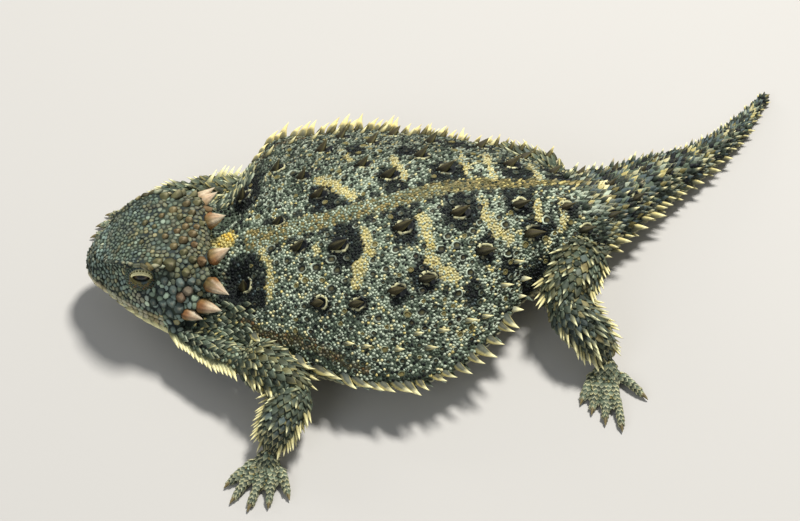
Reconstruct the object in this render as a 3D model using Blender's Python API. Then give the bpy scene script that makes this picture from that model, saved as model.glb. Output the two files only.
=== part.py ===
"""A horned lizard at life size, crouched on the ground with its head to -X.

Sizes are in millimetres, and each mesh is scaled to metres as it is made. A place along the
neck, trunk and tail is s, the length along the midline from inside the head. A place on the
head is u behind the snout tip, v to the side (right positive, so +Y) and z above the ground.
"""

import math
import random

import bmesh
import bpy
import numpy as np

MM = 0.001
GAP = 0.3  # clear space between touching nodes
SEED = 7
PLACE = (6.117, 1.152)  # the plan's point that becomes the origin, under the middle of the whole
SIDES = {"left": -1, "right": 1}

# The midline seen from above, from inside the head to the tail tip, with a bend to the right.
MIDLINE = ((-33, 0.7), (-25, 0.2), (-15.8, 0.9), (0, 3.6), (12.6, 6.8), (25.2, 10.7), (33.2, 15.1),
           (39.8, 20.1), (48.8, 26.2), (56.0, 33.5), (62.6, 43))
NECK_END = 9.0
TRUNK_END = 66.0
TAIL_JOINT = 86.0
TAIL_END = 109.36

# Each profile is (s, size) pairs.
HALF_WIDTH = ((0, 12.2), (4, 13.8), (8, 14.9), (11, 16.2), (14, 18.2), (18, 20.8), (22, 23.2), (28, 25.0),
              (34, 24.8), (38, 23.2), (42, 20.5), (46, 16.8), (50, 13.2), (54, 11.2), (58, 9.9), (62, 8.7),
              (66, 7.5), (72, 5.9), (80, 4.3), (90, 2.6), (100, 1.6), (110, 0.6))
# How much further the right side bulges than the left.
BULGE = ((0, 0.0), (5, 1.4), (9, 4.6), (13, 6.2), (17, 5.4), (22, 2.8), (28, 1.4), (34, 1.2), (40, 1.9),
         (47, 5.0), (53, 5.2), (60, 1.2), (66, 0.0))
# How much higher the right edge is than its share, and the left edge lower.
ROLL = ((0, 0.4), (8, 1.2), (16, 1.0), (26, 0.2), (34, 0.0))
RIDGE_Z = ((0, 12.0), (4, 12.8), (8, 14.8), (13, 17.3), (20, 19.8), (27, 21.3), (35, 21.7), (43, 21.2),
           (50, 19.6), (56, 17.2), (62, 14.0), (68, 11.0), (75, 8.6), (82, 6.9), (90, 5.2), (100, 3.3),
            (110, 1.5))
EDGE_Z = ((0, 6.8), (9, 7.8), (20, 8.2), (33, 8.2), (46, 8.0), (56, 7.6), (62, 6.6), (68, 5.4), (75, 4.2),
          (85, 3.2), (95, 2.2), (110, 0.8))
BELLY_Z = ((0, 5.2), (4, 4.2), (9, 2.2), (14, 0.5), (19, -0.35), (30, -0.5), (60, -0.45), (70, -0.35),
           (90, -0.25), (110, -0.1))
# The superellipse power of the rise above the edge: 1 gives a low roof with a sharp edge, 2 a round arch.
ROOF_POWER = ((0, 1.5), (8, 1.3), (16, 1.15), (50, 1.15), (60, 1.6), (70, 2.0))
ROOF_SPREAD = 2.0
BELLY_POWER = (2.6, 2.4)

# Head stations along u, and the sizes there.
SNOUT = (-49.9, 1.3)
HEAD_TURN = math.radians(-1.5)
HEAD_U = (0.0, 1.3, 3.6, 7.0, 11.0, 15.0, 18.2, 20.4)
CROWN_Z = (9.0, 11.6, 13.6, 15.8, 17.0, 17.2, 16.7, 14.8)
BROW_V = (0.6, 1.8, 3.0, 4.8, 6.1, 6.9, 6.8, 5.0)
BROW_Z = (9.0, 11.2, 13.2, 15.6, 16.7, 16.5, 15.9, 14.0)
TEMPLE_V = (1.0, 2.8, 4.1, 6.3, 8.3, 9.7, 9.7, 7.4)
TEMPLE_Z = (8.6, 9.8, 11.0, 12.2, 12.8, 13.0, 12.6, 11.6)
CHEEK_V = (1.1, 3.4, 5.3, 7.9, 10.0, 11.5, 11.2, 8.0)
CHEEK_Z = (8.0, 8.2, 8.4, 8.6, 8.9, 9.2, 9.4, 9.4)
JAW_V = (0.9, 2.6, 4.3, 6.9, 9.3, 10.9, 10.2, 7.0)
JAW_Z = (7.3, 6.6, 6.1, 5.5, 5.1, 5.2, 6.0, 7.0)
THROAT_Z = (7.0, 5.8, 5.0, 4.2, 3.8, 4.0, 4.8, 6.2)
MOUTH_Z = 7.3
MOUTH_CORNER_U = 13.4

EYE_U = 9.7
EYE_V = 5.5
EYE_Z = 12.7
EYE_RADIUS = 2.15
LID_RADIUS = 2.95
SLIT_LENGTH = 3.3
SLIT_HEIGHT = 1.5

# Horns on one side: root (u, v, z), tip (u, v, z), width, thickness.
HORNS = {
    "occipital": ((20.9, 4.1, 15.1), (23.8, 3.7, 16.8), 2.8, 2.3),
    "temporal_upper": ((20.7, 8.2, 13.6), (23.8, 10.6, 13.7), 2.6, 2.1),
    "temporal_middle": ((19.5, 10.6, 11.2), (22.8, 12.6, 12.2), 2.6, 2.1),
    "temporal_lower": ((17.1, 11.1, 9.9), (19.7, 12.9, 10.3), 2.4, 2.1),
}
# How much further back and out single horns stand than their pair.
HORN_SHIFT = {"temporal_upper_right": (-3.2, -0.6), "temporal_middle_right": (-2.8, -0.4),
              "temporal_lower_right": (-1.6, -0.2), "occipital_right": (-1.1, -1.0)}
HORN_RINGS = 4
HORN_SIDES = 7
# The half width of a horn's boss, as a share of the horn's width, from its root to its end.
BOSS_TAPER = (0.80, 0.72, 0.56)

# Limbs: joints of each leg as (x, y, z), with the radius at each.
SHOULDER_RADIUS, ELBOW_RADIUS, FOREARM_RADIUS, WRIST_RADIUS = 3.6, 3.1, 3.3, 2.2
HIP_RADIUS, KNEE_RADIUS, SHANK_RADIUS, ANKLE_RADIUS = 4.7, 3.7, 3.5, 2.3
LEGS = {
    "fore_left": {"joints": ((-24.0, -16.0, 6.8), (-15.9, -22.9, 6.8), (-19.8, -30.9, 3.2)), "heading": -106,
                  "spread": 1.0},
    "fore_right": {"joints": ((-21.5, 14.5, 6.6), (-33.6, 16.6, 4.9), (-40.6, 14.8, 2.9)), "heading": 193,
                   "spread": 0.6},
    "hind_left": {"joints": ((29.5, 4.4, 7.6), (25.5, -7.0, 8.0), (32.4, -13.8, 3.2)), "heading": -92,
                  "spread": 1.0},
    "hind_right": {"joints": ((26.5, 16.0, 7.2), (14.4, 22.4, 7.0), (22.6, 21.6, 3.2)), "heading": 14,
                   "spread": 0.5},
}
PALM_LENGTH, PALM_HALF_WIDTH, PALM_HALF_HEIGHT = 3.2, 2.0, 1.4
# Digits from the first: angle from the foot's heading, and length.
FORE_DIGITS = ((-30, 4.8), (-17, 6.8), (-3, 7.0), (11, 5.8), (32, 4.2))
HIND_DIGITS = ((-20, 4.4), (-10, 6.0), (-1, 7.8), (8, 9.0), (46, 4.6))
DIGIT_RADIUS = 0.78
CLAW_LENGTH = 1.0

# The fold of skin at the left of the neck: a line, with its half widths and half heights.
FOLD_LINE = ((-36.0, -9.7, 6.6), (-32.6, -12.6, 6.7), (-29.2, -15.1, 6.8), (-26.0, -16.7, 7.2))
FOLD_WIDTHS = (1.5, 1.6, 1.9, 2.0)
FOLD_HEIGHTS = (1.3, 1.4, 1.7, 1.8)

# Spines: the fringe along the trunk's edge, the enlarged ones on the back and the whorls round the tail.
FRINGE_COUNT = 26
FRINGE_SPAN = (11.0, 60.0)
FRINGE_LENGTH = 3.3
# How far below the ridge the left fringe runs, as a share of the way to the edge, from above the shoulder.
FRINGE_LEFT = ((10.0, 0.70), (11.5, 0.75), (15.2, 0.84), (19, 0.96), (22, 1.0), (60, 1.0))
# Each enlarged spine's s, with its share of the way from the ridge to the edge. The left is positive.
BACK_SPINES = (
    (16.8, 0.14), (22.8, 0.17), (18.8, 0.43), (24.2, 0.43), (30.2, 0.39), (32.8, 0.14), (34.8, 0.37),
    (41.8, 0.14),
    (44.2, 0.37), (51.8, 0.19), (11.4, 0.32), (52.8, 0.43), (61.2, 0.54), (21.2, -0.10), (32.8, -0.12),
    (42.0, -0.12), (53.2, -0.19), (61.0, -0.28), (19.2, -0.23), (29.2, -0.22), (39.2, -0.24), (15.2, -0.36),
    (23.6, -0.42), (32.2, -0.42), (42.6, -0.42), (50.2, -0.42), (27.6, -0.58), (37.2, -0.58), (57.0, -0.44),
)
BACK_SPINE_LENGTH = 2.2
FLANK_SPINES = (
    (31.8, 0.59), (21.8, 0.63), (28.8, 0.66), (39.2, 0.63), (41.8, 0.68), (35.2, 0.61), (22.4, -0.66),
    (31.2, -0.66), (35.4, -0.74), (39.8, -0.64), (44.2, -0.68), (48.0, -0.60),
)
FLANK_SPINE_LENGTH = 1.8
TAIL_WHORL_STEP = 3.6
TAIL_SPINE_LENGTH = 3.0

COLOURS = {
    "hide": (0.20, 0.22, 0.16, 1.0),
    "pale_hide": (0.45, 0.44, 0.27, 1.0),
    "horn": (0.42, 0.25, 0.15, 1.0),
    "eye": (0.02, 0.015, 0.01, 1.0),
}


def through(points):
    """A smooth function through (x, value) pairs, held level beyond its ends."""
    xs = np.array([p[0] for p in points], float)
    ys = np.array([p[1] for p in points], float)
    slopes = np.gradient(ys, xs, axis=0)

    def value(x):
        x = min(max(float(x), xs[0]), xs[-1])
        i = min(max(int(np.searchsorted(xs, x)) - 1, 0), len(xs) - 2)
        h = xs[i + 1] - xs[i]
        t = (x - xs[i]) / h
        return ((1 + 2 * t) * (1 - t) ** 2 * ys[i] + t * (1 - t) ** 2 * h * slopes[i]
                + t * t * (3 - 2 * t) * ys[i + 1] + t * t * (t - 1) * h * slopes[i + 1])

    return value


def by_length(points, samples=400):
    """A function from the length along a smooth curve through the points to the point there."""
    curve = through([(i, p) for i, p in enumerate(points)])
    line = np.array([curve(i) for i in np.linspace(0, len(points) - 1, samples)])
    lengths = np.concatenate([[0], np.cumsum(np.linalg.norm(np.diff(line, axis=0), axis=1))])
    return lambda s: np.array([np.interp(s, lengths, line[:, k]) for k in range(line.shape[1])])


def unit(v):
    v = np.asarray(v, float)
    return v / np.linalg.norm(v)


midline = by_length(MIDLINE)
half_width, bulge, roll, ridge_z, edge_z, belly_z, roof_power = (
    through(p) for p in (HALF_WIDTH, BULGE, ROLL, RIDGE_Z, EDGE_Z, BELLY_Z, ROOF_POWER))


def back_at(s):
    """The direction towards the tail, level."""
    step = 0.5
    return unit([*(midline(s + step) - midline(s - step)), 0])


def across_at(s):
    """The direction to the animal's right, level."""
    x, y, _ = back_at(s)
    return np.array([-y, x, 0])


def power(x, n):
    return math.copysign(abs(x) ** (2 / n), x)


def trunk_point(s, turn):
    """A point on the neck, trunk or tail. turn is 0 at the right edge, 90 on the ridge, 180 at the left."""
    c, d = math.cos(math.radians(turn)), math.sin(math.radians(turn))
    wide, tall = (ROOF_SPREAD, roof_power(s)) if d >= 0 else BELLY_POWER
    rise = ridge_z(s) - edge_z(s) if d >= 0 else edge_z(s) - belly_z(s)
    reach = half_width(s) + (bulge(s) if c > 0 else 0)
    x, y = midline(s)
    middle = np.array([x, y, edge_z(s) + roll(s) * c])
    return middle + across_at(s) * reach * power(c, wide) + np.array([0, 0, rise * power(d, tall)])


def trunk_normal(s, turn):
    step = 0.4
    along = trunk_point(s + step, turn) - trunk_point(s - step, turn)
    round_it = trunk_point(s, turn + step) - trunk_point(s, turn - step)
    return unit(np.cross(round_it, along))


def head_place(u, v, z):
    """The world place of a point given on the head."""
    c, s = math.cos(HEAD_TURN), math.sin(HEAD_TURN)
    return np.array([SNOUT[0] + u * c - v * s, SNOUT[1] + u * s + v * c, z])


def head_direction(du, dv, dz):
    return unit(head_place(du, dv, dz) - head_place(0, 0, 0))


head_sizes = [through(list(zip(HEAD_U, row))) for row in (
    CROWN_Z, BROW_V, BROW_Z, TEMPLE_V, TEMPLE_Z, CHEEK_V, CHEEK_Z, JAW_V, JAW_Z, THROAT_Z)]


def head_section(u, sides):
    """The head's outline (v, z) at u, counter-clockwise from the throat as seen from the snout."""
    crown, brow_v, brow, temple_v, temple, cheek_v, cheek, jaw_v, jaw, throat = (f(u) for f in head_sizes)
    half = [(0, throat), (jaw_v * 0.6, throat + 0.25 * (jaw - throat)), (jaw_v, jaw), (cheek_v, cheek),
            (temple_v, temple), (brow_v, brow), (brow_v * 0.5, crown)]
    loop = half + [(0, crown)] + [(-v, z) for v, z in reversed(half[1:])]
    closed = loop + loop[:3]
    curve = through([(i, p) for i, p in enumerate(closed)])
    return [curve(1 + i * len(loop) / sides) for i in range(sides)]


def head_half_width(u, z):
    """How far the head's surface is from its middle at u and the height z."""
    section = head_section(u, 96)
    return max(v for v, at in section if abs(at - z) < 0.5)


def mesh_object(name, bm, material):
    bmesh.ops.recalc_face_normals(bm, faces=bm.faces)
    bmesh.ops.scale(bm, vec=(MM, MM, MM), verts=bm.verts)
    mesh = bpy.data.meshes.new(name)
    bm.to_mesh(mesh)
    bm.free()
    mesh.materials.append(material)
    mesh.shade_smooth()
    obj = bpy.data.objects.new(name, mesh)
    parts.objects.link(obj)
    return obj


def loft_into(bm, rings):
    """Adds a closed body through rings of equal counts, with a fan on each end."""
    made = [[bm.verts.new(placed(p)) for p in ring] for ring in rings]
    for first, second in zip(made, made[1:]):
        for i in range(len(first)):
            j = (i + 1) % len(first)
            bm.faces.new((first[i], first[j], second[j], second[i]))
    for ring, points in ((made[0], rings[0]), (made[-1], rings[-1])):
        hub = bm.verts.new(placed(np.mean(points, axis=0)))
        for i in range(len(ring)):
            bm.faces.new((ring[i], ring[(i + 1) % len(ring)], hub))


def placed(p):
    return (p[0] - PLACE[0], p[1] - PLACE[1], p[2])


def loft(name, rings, material):
    bm = bmesh.new()
    loft_into(bm, rings)
    return mesh_object(name, bm, material)


def trunk_length(name, start, end, rings, sides, material):
    """A length of the body between two places on the midline."""
    places = np.linspace(start, end, rings)
    return loft(name, [[trunk_point(s, 360 * i / sides) for i in range(sides)] for s in places], material)


def tube(name, points, widths, heights, rings, sides, material, round_ends=True):
    """A limb or digit: a smooth tube with elliptical sections and round ends."""
    line = through([(i, p) for i, p in enumerate(points)])
    last = len(points) - 1
    wide, tall = through(list(enumerate(widths))), through(list(enumerate(heights)))
    total = sum(np.linalg.norm(np.subtract(a, b)) for a, b in zip(points, points[1:]))
    made = []
    for i in range(rings):
        share = (1 - math.cos(math.pi * (i + 0.35) / (rings - 0.3))) / 2
        t = share * last
        ahead = unit(line(t + 0.02) - line(t - 0.02))
        side = unit(np.cross(ahead, (0, 0, 1)))
        up = np.cross(side, ahead)
        near = min(share, 1 - share) * total / wide(t)
        shrink = math.sqrt(max(0.02, 1 - (1 - min(near, 1)) ** 2)) if round_ends else 1
        made.append([line(t) + shrink * (side * wide(t) * math.cos(a) + up * tall(t) * math.sin(a))
                     for a in (2 * math.pi * k / sides for k in range(sides))])
    return loft(name, made, material)


def spike(name, root, ahead, across, length, width, thickness, lift, material, sides=4, rings=2, sink=0.8):
    """A tapered spine. Its root is sunk, and its tip curves by lift along a third direction."""
    ahead, across = unit(ahead), unit(across)
    across = unit(across - ahead * (across @ ahead))
    up = np.cross(ahead, across)
    up = up if up[2] >= 0 else -up
    bm = bmesh.new()
    made = []
    for k in range(rings):
        share = k / rings
        centre = root + ahead * (length * share if k else -sink) + up * lift * share ** 2
        size = 1 - share ** 1.25
        wide, tall = across * width / 2 * size, up * thickness / 2 * size
        made.append([bm.verts.new(placed(centre + wide * math.cos(a) + tall * math.sin(a)))
                     for a in (2 * math.pi * i / sides for i in range(sides))])
    for first, second in zip(made, made[1:]):
        for i in range(sides):
            j = (i + 1) % sides
            bm.faces.new((first[i], first[j], second[j], second[i]))
    tip = bm.verts.new(placed(root + ahead * length + up * lift))
    for i in range(sides):
        bm.faces.new((made[-1][i], made[-1][(i + 1) % sides], tip))
    bm.faces.new(made[0])
    return mesh_object(name, bm, material)


def ball(name, centre, radius, material, segments=20):
    bm = bmesh.new()
    bmesh.ops.create_uvsphere(bm, u_segments=segments, v_segments=segments // 2, radius=radius)
    bmesh.ops.translate(bm, vec=placed(centre), verts=bm.verts)
    return mesh_object(name, bm, material)


def box(name, low, high, material):
    bm = bmesh.new()
    bmesh.ops.create_cube(bm, size=1)
    bmesh.ops.scale(bm, vec=np.subtract(high, low), verts=bm.verts)
    bmesh.ops.translate(bm, vec=(np.add(low, high) / 2), verts=bm.verts)
    return mesh_object(name, bm, material)


def applied(obj):
    """Replaces an object's mesh by what its modifiers make of it."""
    graph = bpy.context.evaluated_depsgraph_get()
    mesh = bpy.data.meshes.new_from_object(obj.evaluated_get(graph))
    obj.modifiers.clear()
    obj.data = mesh


def boolean(obj, operation, others, solver="EXACT"):
    """Joins the others to obj, or cuts them from it, and removes them."""
    group = bpy.data.collections.new("pieces")
    bpy.context.scene.collection.children.link(group)
    for other in others:
        group.objects.link(other)
        parts.objects.unlink(other)
    step = obj.modifiers.new(operation.lower(), "BOOLEAN")
    step.operation = operation
    step.operand_type = "COLLECTION"
    step.collection = group
    step.solver = solver
    applied(obj)
    for other in others:
        bpy.data.objects.remove(other)
    bpy.data.collections.remove(group)


def keep_largest(obj):
    """Keeps only the closed surface of largest volume."""
    bm = bmesh.new()
    bm.from_mesh(obj.data)
    left, shells = set(bm.verts), []
    while left:
        shell, edge = set(), [left.pop()]
        while edge:
            vert = edge.pop()
            shell.add(vert)
            near = {e.other_vert(vert) for e in vert.link_edges} & left
            left -= near
            edge.extend(near)
        shells.append(shell)

    def volume(shell):
        faces = {f for v in shell for f in v.link_faces}
        return sum(a.co.dot(b.co.cross(c.co)) for f in faces
                    for a, b, c in [(f.verts[0], f.verts[i], f.verts[i + 1])
                                    for i in range(1, len(f.verts) - 1)])

    largest = max(shells, key=volume)
    bmesh.ops.delete(bm, geom=[v for shell in shells if shell is not largest for v in shell], context="VERTS")
    bmesh.ops.triangulate(bm, faces=bm.faces)
    bm.to_mesh(obj.data)
    bm.free()


def swollen(obj):
    """The object's mesh grown outwards by the gap that nodes keep."""
    mesh = obj.data.copy()
    bm = bmesh.new()
    bm.from_mesh(mesh)
    bm.normal_update()
    moves = [(v, v.normal * GAP * MM * min(v.calc_shell_factor(), 3)) for v in bm.verts]
    for vert, move in moves:
        vert.co += move
    bm.to_mesh(mesh)
    bm.free()
    return mesh


def copy_of(obj):
    twin = obj.copy()
    twin.data = obj.data.copy()
    parts.objects.link(twin)
    return twin


def touches(obj, mesh):
    """Whether the boxes of an object and a mesh meet."""
    ours = np.array([v.co for v in obj.data.vertices])
    theirs = np.array([v.co for v in mesh.vertices])
    return bool(np.all(ours.min(0) < theirs.max(0)) and np.all(theirs.min(0) < ours.max(0)))


def cut_clear(obj, *neighbours):
    """Cuts a piece back from neighbours that were made before it, with the gap between."""
    cutters = []
    for mesh in (m for name in neighbours for m in outlines[name] if touches(obj, m)):
        cutters.append(bpy.data.objects.new("cutter", mesh))
        parts.objects.link(cutters[-1])
    if cutters:
        boolean(obj, "DIFFERENCE", cutters)
        keep_largest(obj)


def dress(obj, pieces, bare=None):
    """Joins spines and plates to a body, and notes the outlines that its neighbours are cut back from."""
    outlines[obj.name] = [swollen(bare or obj)] + [swollen(piece) for piece in pieces]
    if pieces:
        boolean(obj, "UNION", pieces)
        keep_largest(obj)


def rest_flat(obj):
    """Cuts a piece level with the ground, which gives it its small flats."""
    size = 200
    boolean(obj, "DIFFERENCE", [box("ground", (-size, -size, -size), (size, size, 0), obj.data.materials[0])])
    keep_largest(obj)


def material_of(name):
    made = bpy.data.materials.new(name)
    made.use_nodes = True
    shader = made.node_tree.nodes["Principled BSDF"]
    shader.inputs["Base Color"].default_value = COLOURS[name]
    shader.inputs["Roughness"].default_value = 0.15 if name == "eye" else 0.7
    shader.inputs["Metallic"].default_value = 0.0
    return made


def make_body():
    """The neck, trunk and two lengths of tail, parted by thin cuts across the midline."""
    hide = material_of("hide")
    half = GAP / 2
    neck = trunk_length("neck", 0.5, NECK_END - half, 5, 26, hide)
    torso = trunk_length("torso", NECK_END + half, TRUNK_END - half, 24, 32, hide)
    tail_base = trunk_length("tail_base", TRUNK_END + half, TAIL_JOINT - half, 7, 16, hide)
    tail_tip = trunk_length("tail_tip", TAIL_JOINT + half, TAIL_END, 8, 10, hide)
    return neck, torso, tail_base, tail_tip


def make_skull(hide):
    """The bare head, and the lower jaw parted from it along the mouth."""
    places = np.concatenate([[0.15, 0.6], np.linspace(1.3, 18.2, 12), [19.4, 20.2]])
    sides = 28
    rings = [[head_place(u, v, z) for v, z in head_section(u, sides)] for u in places]
    skull = loft("head", rings, hide)
    jaw = copy_of(skull)
    jaw.name = "lower_jaw"
    reach = 30
    for obj, operation, grow in ((skull, "DIFFERENCE", GAP / 2), (jaw, "INTERSECT", -GAP / 2)):
        corner = placed(head_place(MOUTH_CORNER_U, 0, MOUTH_Z))
        low = (corner[0] - reach, corner[1] - reach, -reach)
        high = (corner[0] + grow, corner[1] + reach, MOUTH_Z + grow)
        boolean(obj, operation, [box("below_mouth", low, high, hide)])
        keep_largest(obj)
    return skull, jaw


def horn_ends(label, name, side):
    """Where one horn starts and where its tip is."""
    back, out = HORN_SHIFT.get(f"{label}_{name}", (0, 0))
    return tuple(head_place(u + back, side * (v + out), z) for u, v, z in HORNS[label][:2])


def lip_line(side, z, start=1.6, end=12.6, count=7):
    """Places along the mouth on one side, at the height z."""
    return [head_place(u, side * (head_half_width(u, z) - 0.1), z) for u in np.linspace(start, end, count)]


def dress_head(skull, jaw, hide):
    """Lids, brows, lips, plates, nostrils and ears on the bare head."""
    pieces, cutters, jaw_pieces = [], [], []
    for name, side in SIDES.items():
        eye = head_place(EYE_U, side * EYE_V, EYE_Z)
        pieces.append(ball("lid", eye, LID_RADIUS, hide, 16))
        cutters.append(ball("cavity", eye, EYE_RADIUS + GAP, hide, 16))
        outer = head_place(EYE_U, side * (EYE_V + LID_RADIUS + 0.4), EYE_Z + 0.5)
        inner = head_place(EYE_U, side * (EYE_V + 1.0), EYE_Z + 0.3)
        slit = tube("slit", [inner, (inner + outer) / 2, outer], [SLIT_LENGTH / 2] * 3, [SLIT_HEIGHT / 2] * 3,
                    4, 12, hide, round_ends=False)
        cutters.append(slit)
        brow = [head_place(u, side * v, z) for u, v, z in
                ((2.4, 2.6, 12.3), (5.2, 4.7, 14.7), (8.6, 6.3, 16.2), (11.4, 7.0, 16.7), (13.6, 6.9, 16.6))]
        pieces.append(tube("brow", brow, [0.5, 0.75, 0.9, 0.95, 0.8], [0.4, 0.6, 0.7, 0.75, 0.6], 8, 6, hide))
        for home, label, z in ((pieces, "upper_lip", MOUTH_Z + 0.75),
                               (jaw_pieces, "lower_lip", MOUTH_Z - 0.75)):
            home.append(tube(label, lip_line(side, z), [0.45] * 7, [0.5] * 7, 7, 5, hide))
        # A boss under each horn carries it out from the back of the head.
        for label, (_, _, width, thickness) in HORNS.items():
            start, end = horn_ends(label, name, side)
            ahead = unit(end - start)
            boss = [start - ahead * 3.0, start - ahead * 1.4, start + ahead * 0.1]
            pieces.append(tube("boss", boss, [width * f for f in BOSS_TAPER],
                               [thickness * f for f in BOSS_TAPER], 3, 6, hide))
        nostril = head_place(1.7, side * 1.9, head_sizes[2](1.7) + 0.15)
        cutters.append(ball("nostril", nostril, 0.5, hide, 8))
        ear = head_place(17.0, side * (head_half_width(17.0, 7.9) + 0.25), 7.9)
        cutters.append(ball("ear", ear, 1.0, hide, 10))
        # Small cones behind the brow, on the back of the crown and above the jaw corner.
        for u, v, z, length, width in ((13.6, 6.2, 16.5, 2.0, 1.9), (16.4, 1.6, 16.9, 1.5, 1.7),
                                       (15.2, 4.3, 17.0, 1.6, 1.8), (17.9, 5.9, 15.4, 1.9, 1.9),
                                       (11.2, 9.9, 9.3, 1.7, 2.1), (8.6, 8.5, 8.8, 1.4, 1.9)):
            ahead = head_direction(0.75, side * 0.1 * v, 0.5)
            pieces.append(spike("plate", head_place(u, side * v, z), ahead, (0, 1, 0), length, width,
                                width * 0.8, 0.1, hide, 5))
        # Pointed chin shields along the edge of the jaw.
        for u in np.linspace(4.5, 12.2, 5):
            v, z = head_sizes[7](u) - 0.2, head_sizes[8](u) + 0.3
            ahead = head_direction(0.75, side * 0.75, -0.12)
            root = head_place(u, side * v, z)
            jaw_pieces.append(spike("shield", root, ahead, (1, 0, 0), 1.8, 1.7, 0.9, 0.1, hide))
        v, z = head_sizes[7](14.9) - 0.2, head_sizes[8](14.9) + 0.3
        ahead = head_direction(0.7, side * 0.7, -0.1)
        root = head_place(14.9, side * v, z)
        pieces.append(spike("shield", root, ahead, (1, 0, 0), 2.0, 1.7, 0.9, 0.1, hide))
    dress(skull, pieces)
    boolean(skull, "DIFFERENCE", cutters)
    keep_largest(skull)
    dress(jaw, jaw_pieces)


def make_horns(horn):
    """Four horns a side, each a flattened cone cut to meet the head."""
    for label, (_, _, width, thickness) in HORNS.items():
        for name, side in SIDES.items():
            start, end = horn_ends(label, name, side)
            ahead = end - start
            across, length = np.cross(ahead, (0, 0, 1)), np.linalg.norm(ahead)
            piece = spike(f"horn_{label}_{name}", start, ahead, across, length, width, thickness, 0.35, horn,
                          HORN_SIDES, HORN_RINGS, sink=1.6)
            cut_clear(piece, "head")
            dress(piece, [])


def make_eyes(eye):
    for name, side in SIDES.items():
        ball(f"eye_{name}", head_place(EYE_U, side * EYE_V, EYE_Z), EYE_RADIUS, eye, 14)


def trunk_spines(hide):
    """The fringe along both edges of the trunk, and the enlarged spines on the back and flanks."""
    draw = random.Random(SEED)
    left_share = through(FRINGE_LEFT)
    made = []
    for side in SIDES.values():
        for i in range(FRINGE_COUNT):
            s = np.interp(i, (0, FRINGE_COUNT - 1), FRINGE_SPAN) + draw.uniform(-0.3, 0.3)
            turn = 90 + 90 * left_share(s) if side < 0 else 0
            size = FRINGE_LENGTH * min(1, 0.62 + i * 0.08) * draw.uniform(0.88, 1.08)
            ahead = across_at(s) * side * 0.9 + back_at(s) * 0.4 + np.array([0, 0, 0.16])
            made.append(spike("fringe", trunk_point(s, turn), ahead, back_at(s), size, 1.7, 0.95, 0.35, hide))
    for places, length, width in ((BACK_SPINES, BACK_SPINE_LENGTH, 1.9),
                                  (FLANK_SPINES, FLANK_SPINE_LENGTH, 1.1)):
        for s, share in places:
            turn = 90 + 90 * share
            size = length * draw.uniform(0.88, 1.12)
            ahead = trunk_normal(s, turn) * 0.72 + back_at(s) * 0.8
            root = trunk_point(s, turn) - back_at(s) * 0.4
            made.append(spike("spine", root, ahead, across_at(s), size, width, width * 0.82, 0.2, hide))
    return made


def tail_spines(start, end, hide):
    """Whorls of spines round a length of tail: one at each edge, and rows on the back."""
    made = []
    for s in np.arange(start + 1.6, end - 0.8, TAIL_WHORL_STEP):
        size = TAIL_SPINE_LENGTH * np.interp(s, (TRUNK_END, TAIL_END), (1.0, 0.42))
        for turn in (4, 55, 125, 176):
            ahead = trunk_normal(s, turn) * 0.75 + back_at(s) * 0.75
            root = trunk_point(s, turn)
            width = min(size * 0.62, 0.9 * half_width(s))
            across = (0, 0, 1) if turn in (4, 176) else across_at(s)
            made.append(spike("tail_spine", root, ahead, across, size, width, width * 0.75, 0.15, hide,
                              sink=min(0.8, 0.5 * half_width(s))))
    return made


def neck_fold(hide):
    """The fold from the left jaw to the shoulder with its row of spikes, and a few spikes on the right."""
    line = through([(i, p) for i, p in enumerate(FOLD_LINE)])
    made = [tube("fold", FOLD_LINE, FOLD_WIDTHS, FOLD_HEIGHTS, 6, 6, hide)]
    for t in np.linspace(0.3, 2.3, 6):
        root = line(t) + np.array([0.1, -0.8, -0.1]) * np.interp(t, range(4), FOLD_WIDTHS)
        made.append(spike("fold_spine", root, (0.62, -0.80, -0.05), (1, 0, 0), 2.8, 1.3, 0.8, 0.1, hide))
    for s, turn in ((1.8, -8), (3.6, -10), (5.4, -12), (4.6, 10)):
        ahead = trunk_normal(s, turn) + back_at(s) * 0.6
        made.append(spike("fold_spine", trunk_point(s, turn), ahead, back_at(s), 2.0, 1.5, 0.9, 0.1, hide))
    return made


def limb_spines(points, radii, places, outward, hide):
    """Pointed keeled scales on the outer faces of a limb, at (share of length, angle) places."""
    line = through([(i, p) for i, p in enumerate(points)])
    size = through(list(enumerate(radii)))
    made = []
    for t, angle in places:
        t = t * (len(points) - 1)
        ahead = unit(line(t + 0.02) - line(t - 0.02))
        side = unit(np.cross(ahead, (0, 0, 1)))
        side = side if side @ outward > 0 else -side
        up = np.cross(side, ahead)
        up = up if up[2] > 0 else -up
        normal = side * math.cos(math.radians(angle)) + up * math.sin(math.radians(angle))
        root = line(t) + normal * size(t) * 0.92
        across = np.cross(normal, ahead)
        made.append(spike("limb_spine", root, normal * 0.7 + ahead * 0.7, across, 2.0, 1.6, 1.0, 0.1, hide))
    return made


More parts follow.
